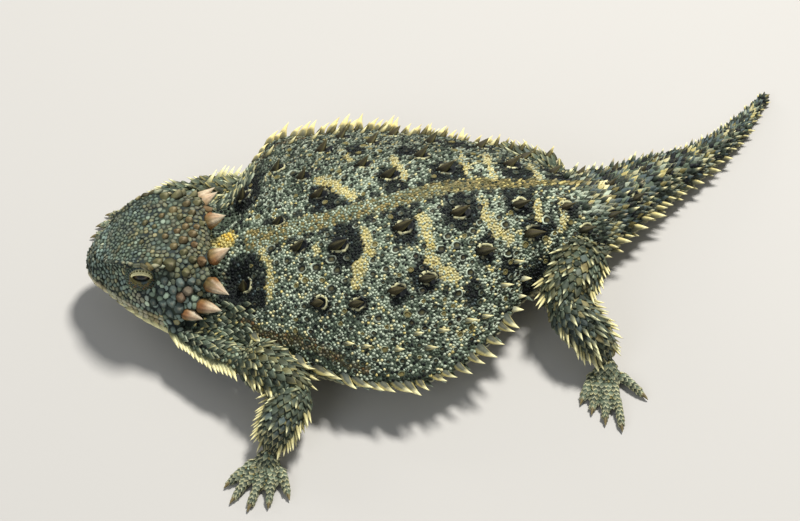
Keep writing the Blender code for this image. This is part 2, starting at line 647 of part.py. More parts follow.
def make_foot(name, wrist, heading, digits, mirror, spread, pale):
    """The palm or sole with five clawed digits spread on the ground."""
    turn = math.radians(heading)
    ahead = np.array([math.cos(turn), math.sin(turn), 0])
    wrist = np.array(wrist, float)
    knuckles = wrist + ahead * PALM_LENGTH
    knuckles[2] = 0.85
    middle = (wrist + knuckles) / 2
    middle[2] = 1.4
    half = PALM_HALF_WIDTH
    palm = tube(name, [wrist, middle, knuckles], [half * 0.85, half, half * 0.9],
                [2.0, PALM_HALF_HEIGHT, 1.15], 7, 10, pale)
    pieces = []
    for i, (angle, length) in enumerate(digits):
        fan = mirror * spread * math.radians(angle)
        aim = turn + fan
        way = np.array([math.cos(aim), math.sin(aim), 0])
        side = np.array([-ahead[1], ahead[0], 0])
        root = knuckles - ahead * 1.6 + side * (mirror * (i - 2) / 2 * half * 0.95)
        root[2] = 0.8
        knee = root + way * length * 0.6
        knee[2] = 1.0
        tip = root + way * (length + 0.9)
        tip[2] = 0.55
        radius = DIGIT_RADIUS
        pieces.append(tube("digit", [root, knee, tip], [radius * 1.05, radius, radius * 0.75],
                           [radius * 1.05, radius, radius * 0.8], 5, 6, pale))
        way = way + np.array([0, 0, -0.12])
        pieces.append(spike("claw", tip, way, (0, 0, 1), CLAW_LENGTH, 0.75, 0.6, 0.0, pale, 4, 1, sink=0.5))
    boolean(palm, "UNION", pieces)
    rest_flat(palm)
    return palm


def make_leg(label, spec, neighbours, hide, pale):
    """One leg in three nodes: upper, lower and foot."""
    fore = label.startswith("fore")
    root, bend, end = (np.array(p, float) for p in spec["joints"])
    first, second, third, last = (
        (SHOULDER_RADIUS, ELBOW_RADIUS, FOREARM_RADIUS, WRIST_RADIUS) if fore
        else (HIP_RADIUS, KNEE_RADIUS, SHANK_RADIUS, ANKLE_RADIUS))
    side = SIDES[label.split("_")[1]]
    outward = np.array([0, side, 0.0])
    reach = unit(bend - root)
    upper_points = [root, (root + bend) / 2 + np.array([0, 0, 0.5]), bend + reach * second * 0.55]
    upper_radii = [first, (first + second) / 2 + 0.25, second]
    upper = tube(f"leg_{label}_upper", upper_points, upper_radii, upper_radii, 9, 12, hide)
    drop = unit(end - bend)
    lower_points = [bend - drop * 0.4 * third, (bend + end) / 2 + np.array([0, 0, 0.4]), end + drop * 0.4]
    lower_radii = [third * 0.95, third, last]
    lower = tube(f"leg_{label}_lower", lower_points, lower_radii, lower_radii, 8, 12, hide)
    foot = make_foot(f"leg_{label}_foot", end, spec["heading"], FORE_DIGITS if fore else HIND_DIGITS, -side,
                     spec["spread"], pale)
    bare_upper, bare_lower = copy_of(upper), copy_of(lower)
    cut_clear(bare_upper, *neighbours)
    places = ((0.42, 15), (0.58, 15), (0.50, 62), (0.66, 62), (0.72, 15), (0.58, 110))
    dress(upper, limb_spines(upper_points, upper_radii, places, outward, hide), bare_upper)
    cut_clear(upper, *neighbours)
    cut_clear(bare_lower, upper.name, *neighbours)
    places = ((0.38, 15), (0.54, 15), (0.70, 15), (0.84, 15), (0.46, 60), (0.64, 60), (0.54, 110))
    dress(lower, limb_spines(lower_points, lower_radii, places, outward, hide), bare_lower)
    cut_clear(lower, upper.name, *neighbours)
    cut_clear(foot, lower.name, upper.name, *neighbours)
    rest_flat(lower)
    for helper in (bare_upper, bare_lower):
        bpy.data.objects.remove(helper)


def build():
    hide, pale = material_of("hide"), material_of("pale_hide")
    horn, eye = material_of("horn"), material_of("eye")
    skull, jaw = make_skull(hide)
    dress_head(skull, jaw, hide)
    make_eyes(eye)
    make_horns(horn)
    head_names = [obj.name for obj in parts.objects if obj.name.startswith(("head", "lower_jaw", "horn"))]
    neck, torso, tail_base, tail_tip = make_body()
    dress(neck, neck_fold(hide))
    cut_clear(neck, *head_names)
    dress(torso, trunk_spines(hide))
    dress(tail_base, tail_spines(TRUNK_END, TAIL_JOINT, hide))
    dress(tail_tip, tail_spines(TAIL_JOINT, TAIL_END, hide))
    for piece in (torso, tail_base, tail_tip):
        rest_flat(piece)
    for label, spec in LEGS.items():
        neighbours = ["torso", "neck", *head_names] if label.startswith("fore") else ["torso", "tail_base"]
        make_leg(label, spec, neighbours, hide, pale)


outlines = {}
for old in list(bpy.data.objects):
    bpy.data.objects.remove(old)
parts = bpy.data.collections.new("horned_lizard")
bpy.context.scene.collection.children.link(parts)
build()
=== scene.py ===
"""The looks of the horned lizard: one skin, and the scales, spines, horns, lids, eyes and claws on it.

Sizes are in millimetres and in the plan's coordinates until a mesh is made. A place along the neck,
trunk and tail is s, the length along the midline from inside the head, with a turn of 0 at the right
edge, 90 on the ridge and 180 at the left edge, or q, which is -1, 0 and 1 there. A place on the head
is u behind the snout tip, v to the right and z above the ground.
"""

import math
from types import SimpleNamespace

import bpy
import numpy as np
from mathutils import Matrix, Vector, noise
from mathutils.bvhtree import BVHTree
from mathutils.kdtree import KDTree


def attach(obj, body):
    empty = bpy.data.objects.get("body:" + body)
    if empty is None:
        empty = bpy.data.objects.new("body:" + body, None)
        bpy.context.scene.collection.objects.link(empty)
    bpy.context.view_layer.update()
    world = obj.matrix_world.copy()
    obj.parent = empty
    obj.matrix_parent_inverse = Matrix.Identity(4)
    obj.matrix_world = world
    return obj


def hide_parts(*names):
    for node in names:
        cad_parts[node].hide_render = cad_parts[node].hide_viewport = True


MM = 0.001
SEED = 7
PLACE = (6.117, 1.152)
SIDES = {"left": -1, "right": 1}

MIDLINE = ((-33, 0.7), (-25, 0.2), (-15.8, 0.9), (0, 3.6), (12.6, 6.8), (25.2, 10.7), (33.2, 15.1),
           (39.8, 20.1), (48.8, 26.2), (56.0, 33.5), (62.6, 43))
TRUNK_START = 0.5
TAIL_END = 109.36
HALF_WIDTH = ((0, 12.2), (4, 13.8), (8, 14.9), (11, 16.2), (14, 18.2), (18, 20.8), (22, 23.2), (28, 25.0),
              (34, 24.8), (38, 23.2), (42, 20.5), (46, 16.8), (50, 13.2), (54, 11.2), (58, 9.9), (62, 8.7),
              (66, 7.5), (72, 5.9), (80, 4.3), (90, 2.6), (100, 1.6), (110, 0.6))
BULGE = ((0, 0.0), (5, 1.4), (9, 4.6), (13, 6.2), (17, 5.4), (22, 2.8), (28, 1.4), (34, 1.2), (40, 1.9),
         (47, 5.0), (53, 5.2), (60, 1.2), (66, 0.0))
ROLL = ((0, 0.4), (8, 1.2), (16, 1.0), (26, 0.2), (34, 0.0))
RIDGE_Z = ((0, 12.0), (4, 12.8), (8, 14.8), (13, 17.3), (20, 19.8), (27, 21.3), (35, 21.7), (43, 21.2),
           (50, 19.6), (56, 17.2), (62, 14.0), (68, 11.0), (75, 8.6), (82, 6.9), (90, 5.2), (100, 3.3),
           (110, 1.5))
EDGE_Z = ((0, 6.8), (9, 7.8), (20, 8.2), (33, 8.2), (46, 8.0), (56, 7.6), (62, 6.6), (68, 5.4), (75, 4.2),
          (85, 3.2), (95, 2.2), (110, 0.8))
BELLY_Z = ((0, 5.2), (4, 4.2), (9, 2.2), (14, 0.5), (19, -0.35), (30, -0.5), (60, -0.45), (70, -0.35),
           (90, -0.25), (110, -0.1))
ROOF_POWER = ((0, 1.5), (8, 1.3), (16, 1.15), (50, 1.15), (60, 1.6), (70, 2.0))
ROOF_SPREAD = 2.0
BELLY_POWER = (2.6, 2.4)

SNOUT = (-49.9, 1.3)
HEAD_TURN = math.radians(-1.5)
HEAD_U = (0.0, 1.3, 3.6, 7.0, 11.0, 15.0, 18.2, 20.4)
CROWN_Z = (9.0, 11.6, 13.6, 15.8, 17.0, 17.2, 16.7, 14.8)
BROW_V = (0.6, 1.8, 3.0, 4.8, 6.1, 6.9, 6.8, 5.0)
BROW_Z = (9.0, 11.2, 13.2, 15.6, 16.7, 16.5, 15.9, 14.0)
TEMPLE_V = (1.0, 2.8, 4.1, 6.3, 8.3, 9.7, 9.7, 7.4)
TEMPLE_Z = (8.6, 9.8, 11.0, 12.2, 12.8, 13.0, 12.6, 11.6)
CHEEK_V = (1.1, 3.4, 5.3, 7.9, 10.0, 11.5, 11.2, 8.0)
CHEEK_Z = (8.0, 8.2, 8.4, 8.6, 8.9, 9.2, 9.4, 9.4)
JAW_V = (0.9, 2.6, 4.3, 6.9, 9.3, 10.9, 10.2, 7.0)
JAW_Z = (7.3, 6.6, 6.1, 5.5, 5.1, 5.2, 6.0, 7.0)
THROAT_Z = (7.0, 5.8, 5.0, 4.2, 3.8, 4.0, 4.8, 6.2)
MOUTH_Z = 7.3
MOUTH_CORNER_U = 13.4
EYE_U, EYE_V, EYE_Z = 9.7, 5.5, 12.7
EYE_RADIUS = 2.15
LID_RADIUS = 2.95
EAR_U, EAR_Z = 17.0, 7.9
# Hollows of the neck behind the horns: (x, y, z, radius, depth).
HOLLOWS = ((-26.0, -6.4, 13.2, 4.2, 1.5), (-27.6, 7.0, 13.6, 4.2, 1.5), (-27.5, -11.0, 9.5, 3.2, 0.9))

HORNS = {
    "occipital": ((20.9, 4.1, 15.1), (23.8, 3.7, 16.8), 2.8, 2.3),
    "temporal_upper": ((20.7, 8.2, 13.6), (23.8, 10.6, 13.7), 2.6, 2.1),
    "temporal_middle": ((19.5, 10.6, 11.2), (22.8, 12.6, 12.2), 2.6, 2.1),
    "temporal_lower": ((17.1, 11.1, 9.9), (19.7, 12.9, 10.3), 2.4, 2.1),
}
# How much further back and out single horns stand than their pair.
HORN_SHIFT = {"temporal_upper_right": (-3.2, -0.6), "temporal_middle_right": (-2.8, -0.4),
              "temporal_lower_right": (-1.6, -0.2), "occipital_right": (-1.1, -1.0)}

# Radii at the shoulder, elbow, forearm and wrist, and at the hip, knee, shank and ankle.
FORE_RADII = (3.6, 3.1, 3.3, 2.2)
HIND_RADII = (4.7, 3.7, 3.5, 2.3)
LEGS = {
    "fore_left": {"joints": ((-24.0, -16.0, 6.8), (-15.9, -22.9, 6.8), (-19.8, -30.9, 3.2)), "heading": -106,
                  "spread": 1.0},
    "fore_right": {"joints": ((-21.5, 14.5, 6.6), (-33.6, 16.6, 4.9), (-40.6, 14.8, 2.9)), "heading": 193,
                   "spread": 0.6},
    "hind_left": {"joints": ((29.5, 4.4, 7.6), (25.5, -7.0, 8.0), (32.4, -13.8, 3.2)), "heading": -92,
                  "spread": 1.0},
    "hind_right": {"joints": ((26.5, 16.0, 7.2), (14.4, 22.4, 7.0), (22.6, 21.6, 3.2)), "heading": 14,
                   "spread": 0.5},
}
PALM_LENGTH, PALM_HALF_WIDTH, PALM_HALF_HEIGHT = 3.2, 2.0, 1.4
FORE_DIGITS = ((-30, 4.8), (-17, 6.8), (-3, 7.0), (11, 5.8), (32, 4.2))
HIND_DIGITS = ((-20, 4.4), (-10, 6.0), (-1, 7.8), (8, 9.0), (46, 4.6))
DIGIT_RADIUS = 0.78
CLAW_LENGTH = 1.0
VOXEL = 0.36
INSET = 0.16
SKIN_FLOOR = 0.22
# How many places round a scale are looked at for its outline.
NEIGHBOURS = 13
EYE_BOWL = 2.45
LID_REACH = 2.62
# The lids' rings from the slit out as (share of the way, rise over the eye).
LID_LEVELS = ((0.0, 0.02), (0.03, 0.28), (0.10, 0.50), (0.22, 0.56), (0.36, 0.54), (0.52, 0.56), (0.68, 0.62),
              (0.84, 0.70), (1.0, 0.78))
# Steps between a limb's rows of scales, and between the scales in a row.
LIMB_STEPS = {"upper": (1.3, 1.35), "lower": (1.05, 1.15), "palm": (0.78, 0.85)}
DIGIT_STEPS = (0.74, 1.05)
# The spikes round a limb as (angle, size, paleness).
LIMB_SPIKES = ((8, 1.0, 1), (172, 1.0, 1), (50, 0.85, 0.4), (130, 0.85, 0.4), (90, 0.8, 0.2))
# The tail's whorls of spines, and the spines of one as (turn, size, pale).
WHORL_START, WHORL_END, WHORL_STEP = 62.2, 108.5, 1.9
WHORL = ((2, 1.0, 1), (178, 1.0, 1), (38, 0.72, 0), (68, 0.62, 0), (112, 0.62, 0), (142, 0.72, 0),
         (-16, 0.6, 1), (196, 0.6, 1))
# Spacing of the fine scales.
BACK_SPACE, NECK_SPACE, TAIL_SPACE, TAIL_END_SPACE = 0.44, 0.55, 0.84, 0.58
BELLY_SPACE, CHIN_SPACE, LIMB_SPACE, DIGIT_SPACE = 0.92, 0.62, 0.72, 0.5
LIP_PLATES, JAW_SHIELDS = 15, 12
# The brow's line as (u, v, z), and the scales along it as (place on the line, size).
BROW_LINE = ((2.4, 2.6, 12.3), (5.2, 4.7, 14.7), (8.6, 6.3, 16.2), (11.4, 7.0, 16.7), (13.6, 6.9, 16.6))
BROW_SCALES = ((1.15, 0.6), (1.5, 0.75), (1.82, 0.9), (2.2, 1.1), (2.62, 1.3), (3.0, 1.3), (3.42, 1.1),
               (3.82, 1.0))
HORN_CURVE = 0.35
# The pupil's rim and the iris's rim, in degrees from where the eye looks.
PUPIL_RIM, IRIS_RIM = (13, 16), (30, 36)
# Rounds of smoothing of the one skin.
SMOOTHING = 5

# The folds of skin from behind the jaw to the shoulder, left and right.
FOLDS = {
    -1: ((-36.0, -9.7, 6.6), (-32.6, -12.6, 6.7), (-29.2, -15.1, 6.8), (-26.0, -16.7, 7.2),
         (-23.4, -18.9, 7.2)),
    1: ((-35.5, 11.4, 6.4), (-32.0, 13.2, 6.6), (-28.4, 14.6, 6.8), (-24.6, 15.6, 7.0)),
}

# The studio, in metres and degrees. Lights are (place, size, power, colour).
FLOOR_HALF_SIZE, FLOOR_COLOUR = 4.0, (0.46, 0.45, 0.43, 1)
WORLD_COLOUR, WORLD_STRENGTH = (0.93, 0.96, 1.0, 1), 0.26
LIGHTS = {
    "key": ((0.20, 0.30, 0.72), 0.15, 9.8, (1.0, 0.975, 0.93)),
    "fill": ((-0.45, -0.55, 0.5), 0.5, 1.6, (0.90, 0.95, 1.0)),
    "rim": ((-0.6, 0.5, 0.35), 0.35, 1.0, (1.0, 0.98, 0.95)),
}
CAMERA_TILT, CAMERA_DISTANCE, CAMERA_TARGET_Z = 52, 0.42, 0.010
SENSOR_WIDTH, FRAME_WIDTH = 36, 0.1264

# The big keeled spines of the back as (s, q, size), each in a ring of pointed scales.
BIG_SPINES = (
    (16.8, 0.14, 1.0), (22.8, 0.17, 1.15), (18.8, 0.43, 1.0), (24.2, 0.43, 0.95), (30.2, 0.39, 1.0),
    (32.8, 0.14, 1.15), (34.8, 0.37, 1.0), (41.8, 0.14, 1.1), (44.2, 0.37, 1.1), (51.8, 0.19, 1.0),
    (8.2, 0.32, 1.1), (14.2, -0.03, 0.8), (52.8, 0.43, 1.15), (61.2, 0.54, 0.95), (59.4, 0.25, 0.85),
    (21.2, -0.10, 1.0), (32.8, -0.12, 1.1), (42.0, -0.12, 1.1), (53.2, -0.19, 1.05), (61.0, -0.28, 0.9),
    (19.2, -0.23, 0.9), (29.2, -0.22, 0.95), (39.2, -0.24, 1.0), (15.2, -0.36, 0.9), (23.6, -0.42, 1.0),
    (32.2, -0.42, 1.0), (42.6, -0.42, 1.0), (50.2, -0.42, 0.95), (27.6, -0.58, 0.95), (37.2, -0.58, 0.95),
    (8.4, -0.34, 1.0), (57.0, -0.44, 0.95), (66.3, 0.50, 0.9), (72.2, 0.44, 0.82), (81.0, 0.26, 0.6),
    (66.6, -0.36, 0.85), (73.4, -0.34, 0.75), (81.2, -0.36, 0.55), (88.6, 0.10, 0.45), (69.6, 0.02, 0.7),
    (77.0, -0.04, 0.6), (96.4, 0.0, 0.34),
)
# Slender pale spines low on the flanks.
FLANK_SPINES = (
    (31.8, 0.59), (21.8, 0.63), (24.2, 0.64), (28.8, 0.66), (39.2, 0.63), (41.8, 0.68), (35.2, 0.61),
    (33.2, 0.68), (46.0, 0.62), (49.0, 0.56), (18.2, -0.62), (22.4, -0.66), (26.4, -0.72), (31.2, -0.66),
    (35.4, -0.74), (39.8, -0.64), (44.2, -0.68), (48.0, -0.60), (13.2, -0.60), (52.6, -0.64),
)
# Small dark scales, each with a pale ring.
RINGED = (
    (14.8, 0.21), (16.8, 0.26), (18.8, 0.26), (21.8, 0.28), (21.2, 0.23), (30.8, 0.23), (38.8, 0.23),
    (39.8, 0.28), (28.9, 0.30), (37.4, 0.27), (42.9, 0.25), (47.6, 0.24), (48.4, 0.30), (26.8, 0.50),
    (38.6, 0.48), (47.9, 0.47), (33.0, 0.50), (41.0, 0.42), (20.6, 0.36), (12.6, 0.12), (55.4, 0.36),
    (17.4, -0.28), (25.4, -0.16), (35.8, -0.16), (46.0, -0.18), (26.4, -0.34), (36.0, -0.34), (46.2, -0.32),
    (21.0, -0.52), (12.4, -0.22),
)
# Pale bars across the back as lines of (s, q), with half the thickness.
BARS = (
    (((26.8, 0.14), (27.2, 0.21), (25.2, 0.28), (24.2, 0.34)), 0.75),
    (((35.8, 0.12), (36.2, 0.23), (35.8, 0.30), (37.2, 0.37), (38.8, 0.41)), 0.75),
    (((45.8, 0.14), (45.8, 0.21), (46.8, 0.30), (48.8, 0.39)), 0.8), (((54.8, 0.19), (54.2, 0.32)), 0.6),
    (((59.2, 0.19), (57.8, 0.46)), 0.6), (((67.8, -0.03), (67.2, 0.23)), 0.6),
    (((11.2, 0.12), (12.2, 0.21), (12.2, 0.34), (12.0, 0.42)), 0.5),
    (((21.2, -0.19), (23.2, -0.14), (25.2, -0.08), (25.8, -0.05)), 0.75), (((19.2, 0.16), (19.4, 0.18)), 0.6),
    (((34.2, -0.23), (34.8, -0.10)), 0.75), (((45.6, -0.24), (45.2, -0.10)), 0.7),
    (((49.6, -0.28), (48.9, -0.06)), 0.55), (((56.8, -0.28), (56.8, -0.12)), 0.55),
    (((26.0, -0.40), (27.0, -0.28)), 0.5),
)
# Dark blotches as (s, q, reach along, reach across).
BLOTCHES = (
    (23.8, 0.17, 3.0, 2.9), (32.8, 0.14, 2.1, 2.9), (34.4, 0.36, 2.9, 2.3), (41.8, 0.14, 3.3, 2.6),
    (44.2, 0.37, 2.0, 2.0), (51.8, 0.17, 3.0, 2.2), (53.8, 0.40, 2.9, 1.9), (21.6, -0.08, 2.8, 2.2),
    (32.6, -0.10, 2.6, 2.2), (42.2, -0.11, 3.2, 2.0), (53.2, -0.16, 3.0, 1.8), (30.2, 0.40, 1.9, 1.9),
    (18.8, 0.43, 1.6, 1.7), (24.2, 0.44, 1.6, 1.6), (59.6, 0.26, 2.2, 1.8), (60.6, -0.26, 2.2, 1.7),
    (37.0, -0.30, 2.0, 2.0), (28.4, -0.36, 1.9, 2.0), (46.4, -0.40, 2.2, 2.0), (41.0, 0.52, 1.7, 2.0),
    # The two at s 8.6 are the black neck patches behind the horns: partly their dark colour, partly painted
    # shade of the hollows there.
    (8.6, 0.34, 3.8, 4.6), (8.6, -0.42, 3.6, 4.4), (47.6, 0.56, 1.6, 2.2),
)
STRIPE = ((9.2, 0.03), (17.2, 0.03), (23.8, 0.03), (33.2, 0.01), (39.8, -0.01), (46.2, -0.01), (52.8, -0.01),
          (60.2, -0.08), (67.2, -0.10))
STRIPE_HALF = ((8, 1.6), (12, 1.35), (24, 1.15), (40, 1.0), (52, 0.68), (62, 0.42), (68, 0.3))
STREAK = ((9.0, 0.62), (10.8, 0.68), (15.8, 0.68), (19.2, 0.72), (22.4, 0.80))

# Larger plates and cones of the head: (u, v, z, radius, height, colour name).
HEAD_CONES = (
    (16.7, 1.7, 16.9, 0.62, 0.85, "amber"), (16.2, 0.3, 17.1, 0.62, 0.75, "amber"),
    (17.3, -0.9, 16.7, 0.72, 0.9, "amber"), (16.0, -2.4, 16.9, 0.80, 1.0, "orange"),
    (14.7, -3.6, 16.9, 0.70, 0.8, "amber"), (16.3, -4.6, 16.4, 0.66, 0.9, "olive"),
    (17.4, -5.6, 15.8, 0.66, 0.9, "olive"), (17.7, -2.9, 16.4, 0.55, 0.8, "orange"),
    (18.9, -5.2, 15.2, 0.85, 1.2, "orange"), (13.2, -1.7, 17.1, 0.55, 0.55, "amber"),
    (17.9, 0.6, 16.6, 0.50, 0.7, "orange"), (18.6, 1.7, 16.2, 0.55, 0.8, "olive"),
    (17.0, 3.1, 16.6, 0.62, 0.9, "amber"), (15.2, 2.2, 17.1, 0.62, 0.7, "olive"),
    (15.0, -0.6, 17.2, 0.6, 0.6, "orange"), (14.0, 3.6, 16.9, 0.75, 0.7, "amber"),
    (12.4, 2.4, 17.1, 0.50, 0.5, "amber"), (17.3, 5.4, 15.9, 0.66, 0.9, "olive"),
    (16.0, 4.9, 16.3, 0.66, 0.8, "amber"), (18.8, 5.4, 15.2, 0.75, 1.1, "orange"),
    (9.6, -2.6, 16.6, 0.5, 0.4, "olive"), (9.8, 1.2, 16.7, 0.55, 0.4, "tan"),
    (11.4, 0.3, 17.0, 0.5, 0.4, "olive"), (16.8, 7.3, 15.4, 0.75, 1.1, "olive"),
    (15.0, 7.4, 15.8, 0.8, 1.2, "olive"), (16.8, -7.3, 15.4, 0.70, 0.9, "olive"),
    (18.4, -8.8, 13.2, 0.6, 0.8, "slate"), (12.4, -6.6, 16.9, 0.85, 0.8, "olive"),
    (14.2, -6.9, 16.7, 0.95, 1.2, "olive"), (12.4, 6.6, 16.9, 0.85, 0.8, "olive"),
    (14.2, 6.9, 16.7, 0.95, 1.3, "olive"), (15.6, -11.0, 11.0, 0.95, 0.9, "slate"),
    (14.4, -10.6, 11.6, 0.8, 0.8, "slate"), (13.2, -10.3, 11.0, 0.75, 0.7, "slate"),
    (12.9, -9.3, 12.8, 0.7, 0.6, "slate"), (15.9, -10.2, 12.6, 0.8, 0.8, "rust"),
    (14.7, -9.5, 13.4, 0.75, 0.6, "slate"), (17.0, -9.6, 13.4, 0.8, 0.8, "rust"),
    (16.0, -8.7, 14.4, 0.8, 0.7, "slate"), (13.4, -8.4, 14.4, 0.7, 0.5, "slate"),
    (17.6, -8.4, 14.4, 0.7, 0.7, "slate"), (15.6, 11.0, 11.0, 0.95, 0.9, "slate"),
    (14.4, 10.6, 11.6, 0.8, 0.8, "slate"), (13.2, 10.3, 11.0, 0.75, 0.7, "slate"),
    (12.9, 9.3, 12.8, 0.7, 0.6, "slate"), (15.9, 10.2, 12.6, 0.8, 0.8, "rust"),
    (14.7, 9.5, 13.4, 0.75, 0.6, "slate"), (16.0, 8.7, 14.4, 0.8, 0.7, "slate"),
    (11.6, -9.6, 10.6, 0.7, 0.5, "slate"), (11.6, 9.6, 10.6, 0.7, 0.5, "slate"),
    (12.6, -10.5, 9.4, 0.7, 0.5, "slate"), (12.6, 10.5, 9.4, 0.7, 0.5, "slate"),
    (14.2, -11.3, 9.6, 0.75, 0.6, "slate"), (14.2, 11.3, 9.6, 0.75, 0.6, "slate"),
)

# Colours as sRGB.
PALETTE = {
    "cream": (244, 236, 180), "straw": (228, 212, 136), "lichen": (200, 212, 188), "sage": (156, 172, 150),
    "moss": (96, 110, 92), "slate": (78, 92, 92), "steel": (112, 126, 122), "dark": (44, 52, 44),
    "ink": (17, 22, 25), "olive": (118, 110, 66), "brown": (92, 76, 48), "tan": (168, 152, 98),
    "yellow": (240, 206, 96), "orange": (166, 110, 62), "amber": (150, 116, 70), "rust": (146, 96, 56),
    "rose": (196, 162, 128), "bone": (224, 208, 176), "groove": (14, 17, 13), "belly": (206, 202, 164),
    "claw": (60, 50, 38),
}


def linear(rgb):
    c = np.array(rgb, float) / 255
    return np.where(c <= 0.04045, c / 12.92, ((c + 0.055) / 1.055) ** 2.4)


TONE = {name: linear(rgb) for name, rgb in PALETTE.items()}
T = SimpleNamespace(**TONE)
UP = (0, 0, 1)


def unit(v):
    v = np.asarray(v, float)
    return v / np.maximum(np.linalg.norm(v, axis=-1, keepdims=True), 1e-9)


def flat_on(normals, ways):
    """The directions without their share along the normals."""
    return unit(ways - normals * (ways * normals).sum(-1, keepdims=True))


def turns(sides):
    """The angles of a ring's corners."""
    return 2 * np.pi * np.arange(sides) / sides


def finder_of(points):
    finder = KDTree(len(points))
    for i, p in enumerate(points):
        finder.insert(p, i)
    finder.balance()
    return finder


def trunk_turn(q):
    return 90 + 90 * np.asarray(q, float)


def across_share(turn):
    """The q of each turn."""
    q = (turn - 90) / 90
    return np.where(q > 2, q - 4, q)


def through(points):
    """A smooth function through (x, value) pairs, held level beyond its ends. It takes arrays."""
    xs = np.array([p[0] for p in points], float)
    ys = np.array([p[1] for p in points], float)
    slopes = np.gradient(ys, xs, axis=0)

    def value(x):
        x = np.clip(np.asarray(x, float), xs[0], xs[-1])
        i = np.clip(np.searchsorted(xs, x) - 1, 0, len(xs) - 2)
        h = xs[i + 1] - xs[i]
        t = (x - xs[i]) / h
        if ys.ndim > 1:
            h, t = h[..., None], t[..., None]
        return ((1 + 2 * t) * (1 - t) ** 2 * ys[i] + t * (1 - t) ** 2 * h * slopes[i] + t * t * (3 - 2 * t)
                * ys[i + 1] + t * t * (t - 1) * h * slopes[i + 1])

    return value


def numbered(points):
    """A smooth curve through the points, by their numbers."""
    return through(list(enumerate(points)))


def by_length(points, samples=400):
    """A function from the length along a smooth curve through the points to the point there."""
    curve = numbered(points)
    line = curve(np.linspace(0, len(points) - 1, samples))
    lengths = np.concatenate([[0], np.cumsum(np.linalg.norm(np.diff(line, axis=0), axis=1))])
    return lambda s: np.stack([np.interp(s, lengths, line[:, k]) for k in range(line.shape[1])], -1)


midline = by_length(MIDLINE)
half_width, bulge, roll, ridge_z, edge_z, belly_z, roof_power = (
    through(line) for line in (HALF_WIDTH, BULGE, ROLL, RIDGE_Z, EDGE_Z, BELLY_Z, ROOF_POWER))
stripe_q, stripe_half, streak_q = through(STRIPE), through(STRIPE_HALF), through(STREAK)


def level(xy):
    return np.concatenate([xy, np.zeros(xy.shape[:-1] + (1,))], -1)


def back_at(s):
    """The direction towards the tail, level."""
    step = 0.5
    return unit(level(midline(np.add(s, step)) - midline(np.subtract(s, step))))


def across_at(s):
    """The direction to the animal's right, level."""
    way = back_at(s)
    return np.stack([-way[..., 1], way[..., 0], 0 * way[..., 0]], -1)


def trunk_point(s, turn):
    """A point on the neck, trunk or tail."""
    s, turn = np.broadcast_arrays(np.asarray(s, float), np.asarray(turn, float))
    c, d = np.cos(np.radians(turn)), np.sin(np.radians(turn))
    above = d >= -1e-12
    wide = np.where(above, ROOF_SPREAD, BELLY_POWER[0])
    tall = np.where(above, roof_power(s), BELLY_POWER[1])
    rise = np.where(above, ridge_z(s) - edge_z(s), edge_z(s) - belly_z(s))
    reach = half_width(s) + np.where(c > 0, bulge(s), 0)
    made = level(midline(s))
    made[..., 2] = edge_z(s) + roll(s) * c + rise * np.copysign(np.abs(d) ** (2 / tall), d)
    return made + across_at(s) * (reach * np.copysign(np.abs(c) ** (2 / wide), c))[..., None]


def trunk_normal(s, turn):
    step = 0.4
    along = trunk_point(np.add(s, step), turn) - trunk_point(np.subtract(s, step), turn)
    round_it = trunk_point(s, np.add(turn, step)) - trunk_point(s, np.subtract(turn, step))
    return unit(np.cross(round_it, along))


def head_place(u, v, z):
    """The plan's place of a point given on the head."""
    c, s = math.cos(HEAD_TURN), math.sin(HEAD_TURN)
    return np.stack(np.broadcast_arrays(SNOUT[0] + u * c - v * s, SNOUT[1] + u * s + v * c, z),
                    -1).astype(float)


def head_direction(du, dv, dz):
    return unit(head_place(du, dv, dz) - head_place(0, 0, 0))


def head_uv(points):
    """The u and v of points near the head."""
    c, s = math.cos(HEAD_TURN), math.sin(HEAD_TURN)
    x, y = points[..., 0] - SNOUT[0], points[..., 1] - SNOUT[1]
    return x * c + y * s, y * c - x * s


head_sizes = [
    through(list(zip(HEAD_U, row)))
    for row in (CROWN_Z, BROW_V, BROW_Z, TEMPLE_V, TEMPLE_Z, CHEEK_V, CHEEK_Z, JAW_V, JAW_Z, THROAT_Z)]


def head_section(u, sides):
    """The head's outline (v, z) at u, counter-clockwise from the throat as seen from the snout."""
    sizes = [float(f(u)) for f in head_sizes]
    crown, brow_v, brow, temple_v, temple, cheek_v, cheek, jaw_v, jaw, throat = sizes
    half = [(0, throat), (jaw_v * 0.6, throat + 0.25 * (jaw - throat)), (jaw_v, jaw), (cheek_v, cheek),
            (temple_v, temple), (brow_v, brow), (brow_v * 0.5, crown)]
    loop = half + [(0, crown)] + [(-v, z) for v, z in reversed(half[1:])]
    curve = numbered(loop + loop[:3])
    return curve(1 + np.arange(sides) * len(loop) / sides)


def head_half_width(u, z):
    section = head_section(u, 160)
    return section[np.abs(section[:, 1] - z) < 0.5, 0].max()


def tube_rings(points, widths, heights, rings, sides, round_ends=True):
    """The rings of a limb or digit, with its share of the length and its angles."""
    line = numbered(points)
    last = len(points) - 1
    wide, tall = numbered(widths), numbered(heights)
    total = sum(np.linalg.norm(np.subtract(a, b)) for a, b in zip(points, points[1:]))
    share = (1 - np.cos(np.pi * (np.arange(rings) + 0.35) / (rings - 0.3))) / 2
    t = share * last
    ahead = unit(line(t + 0.02) - line(t - 0.02))
    side = unit(np.cross(ahead, UP))
    up = np.cross(side, ahead)
    near = np.minimum(share, 1 - share) * total / wide(t)
    shrink = np.sqrt(np.maximum(0.02, 1 - (1 - np.minimum(near, 1)) ** 2)) if round_ends else np.ones(rings)
    angle = turns(sides)
    grid = (line(t)[:, None] + (shrink * wide(t))[:, None, None] * side[:, None]
            * np.cos(angle)[None, :, None] + (shrink * tall(t))[:, None, None] * up[:, None]
            * np.sin(angle)[None, :, None])
    return grid, share, np.degrees(angle)


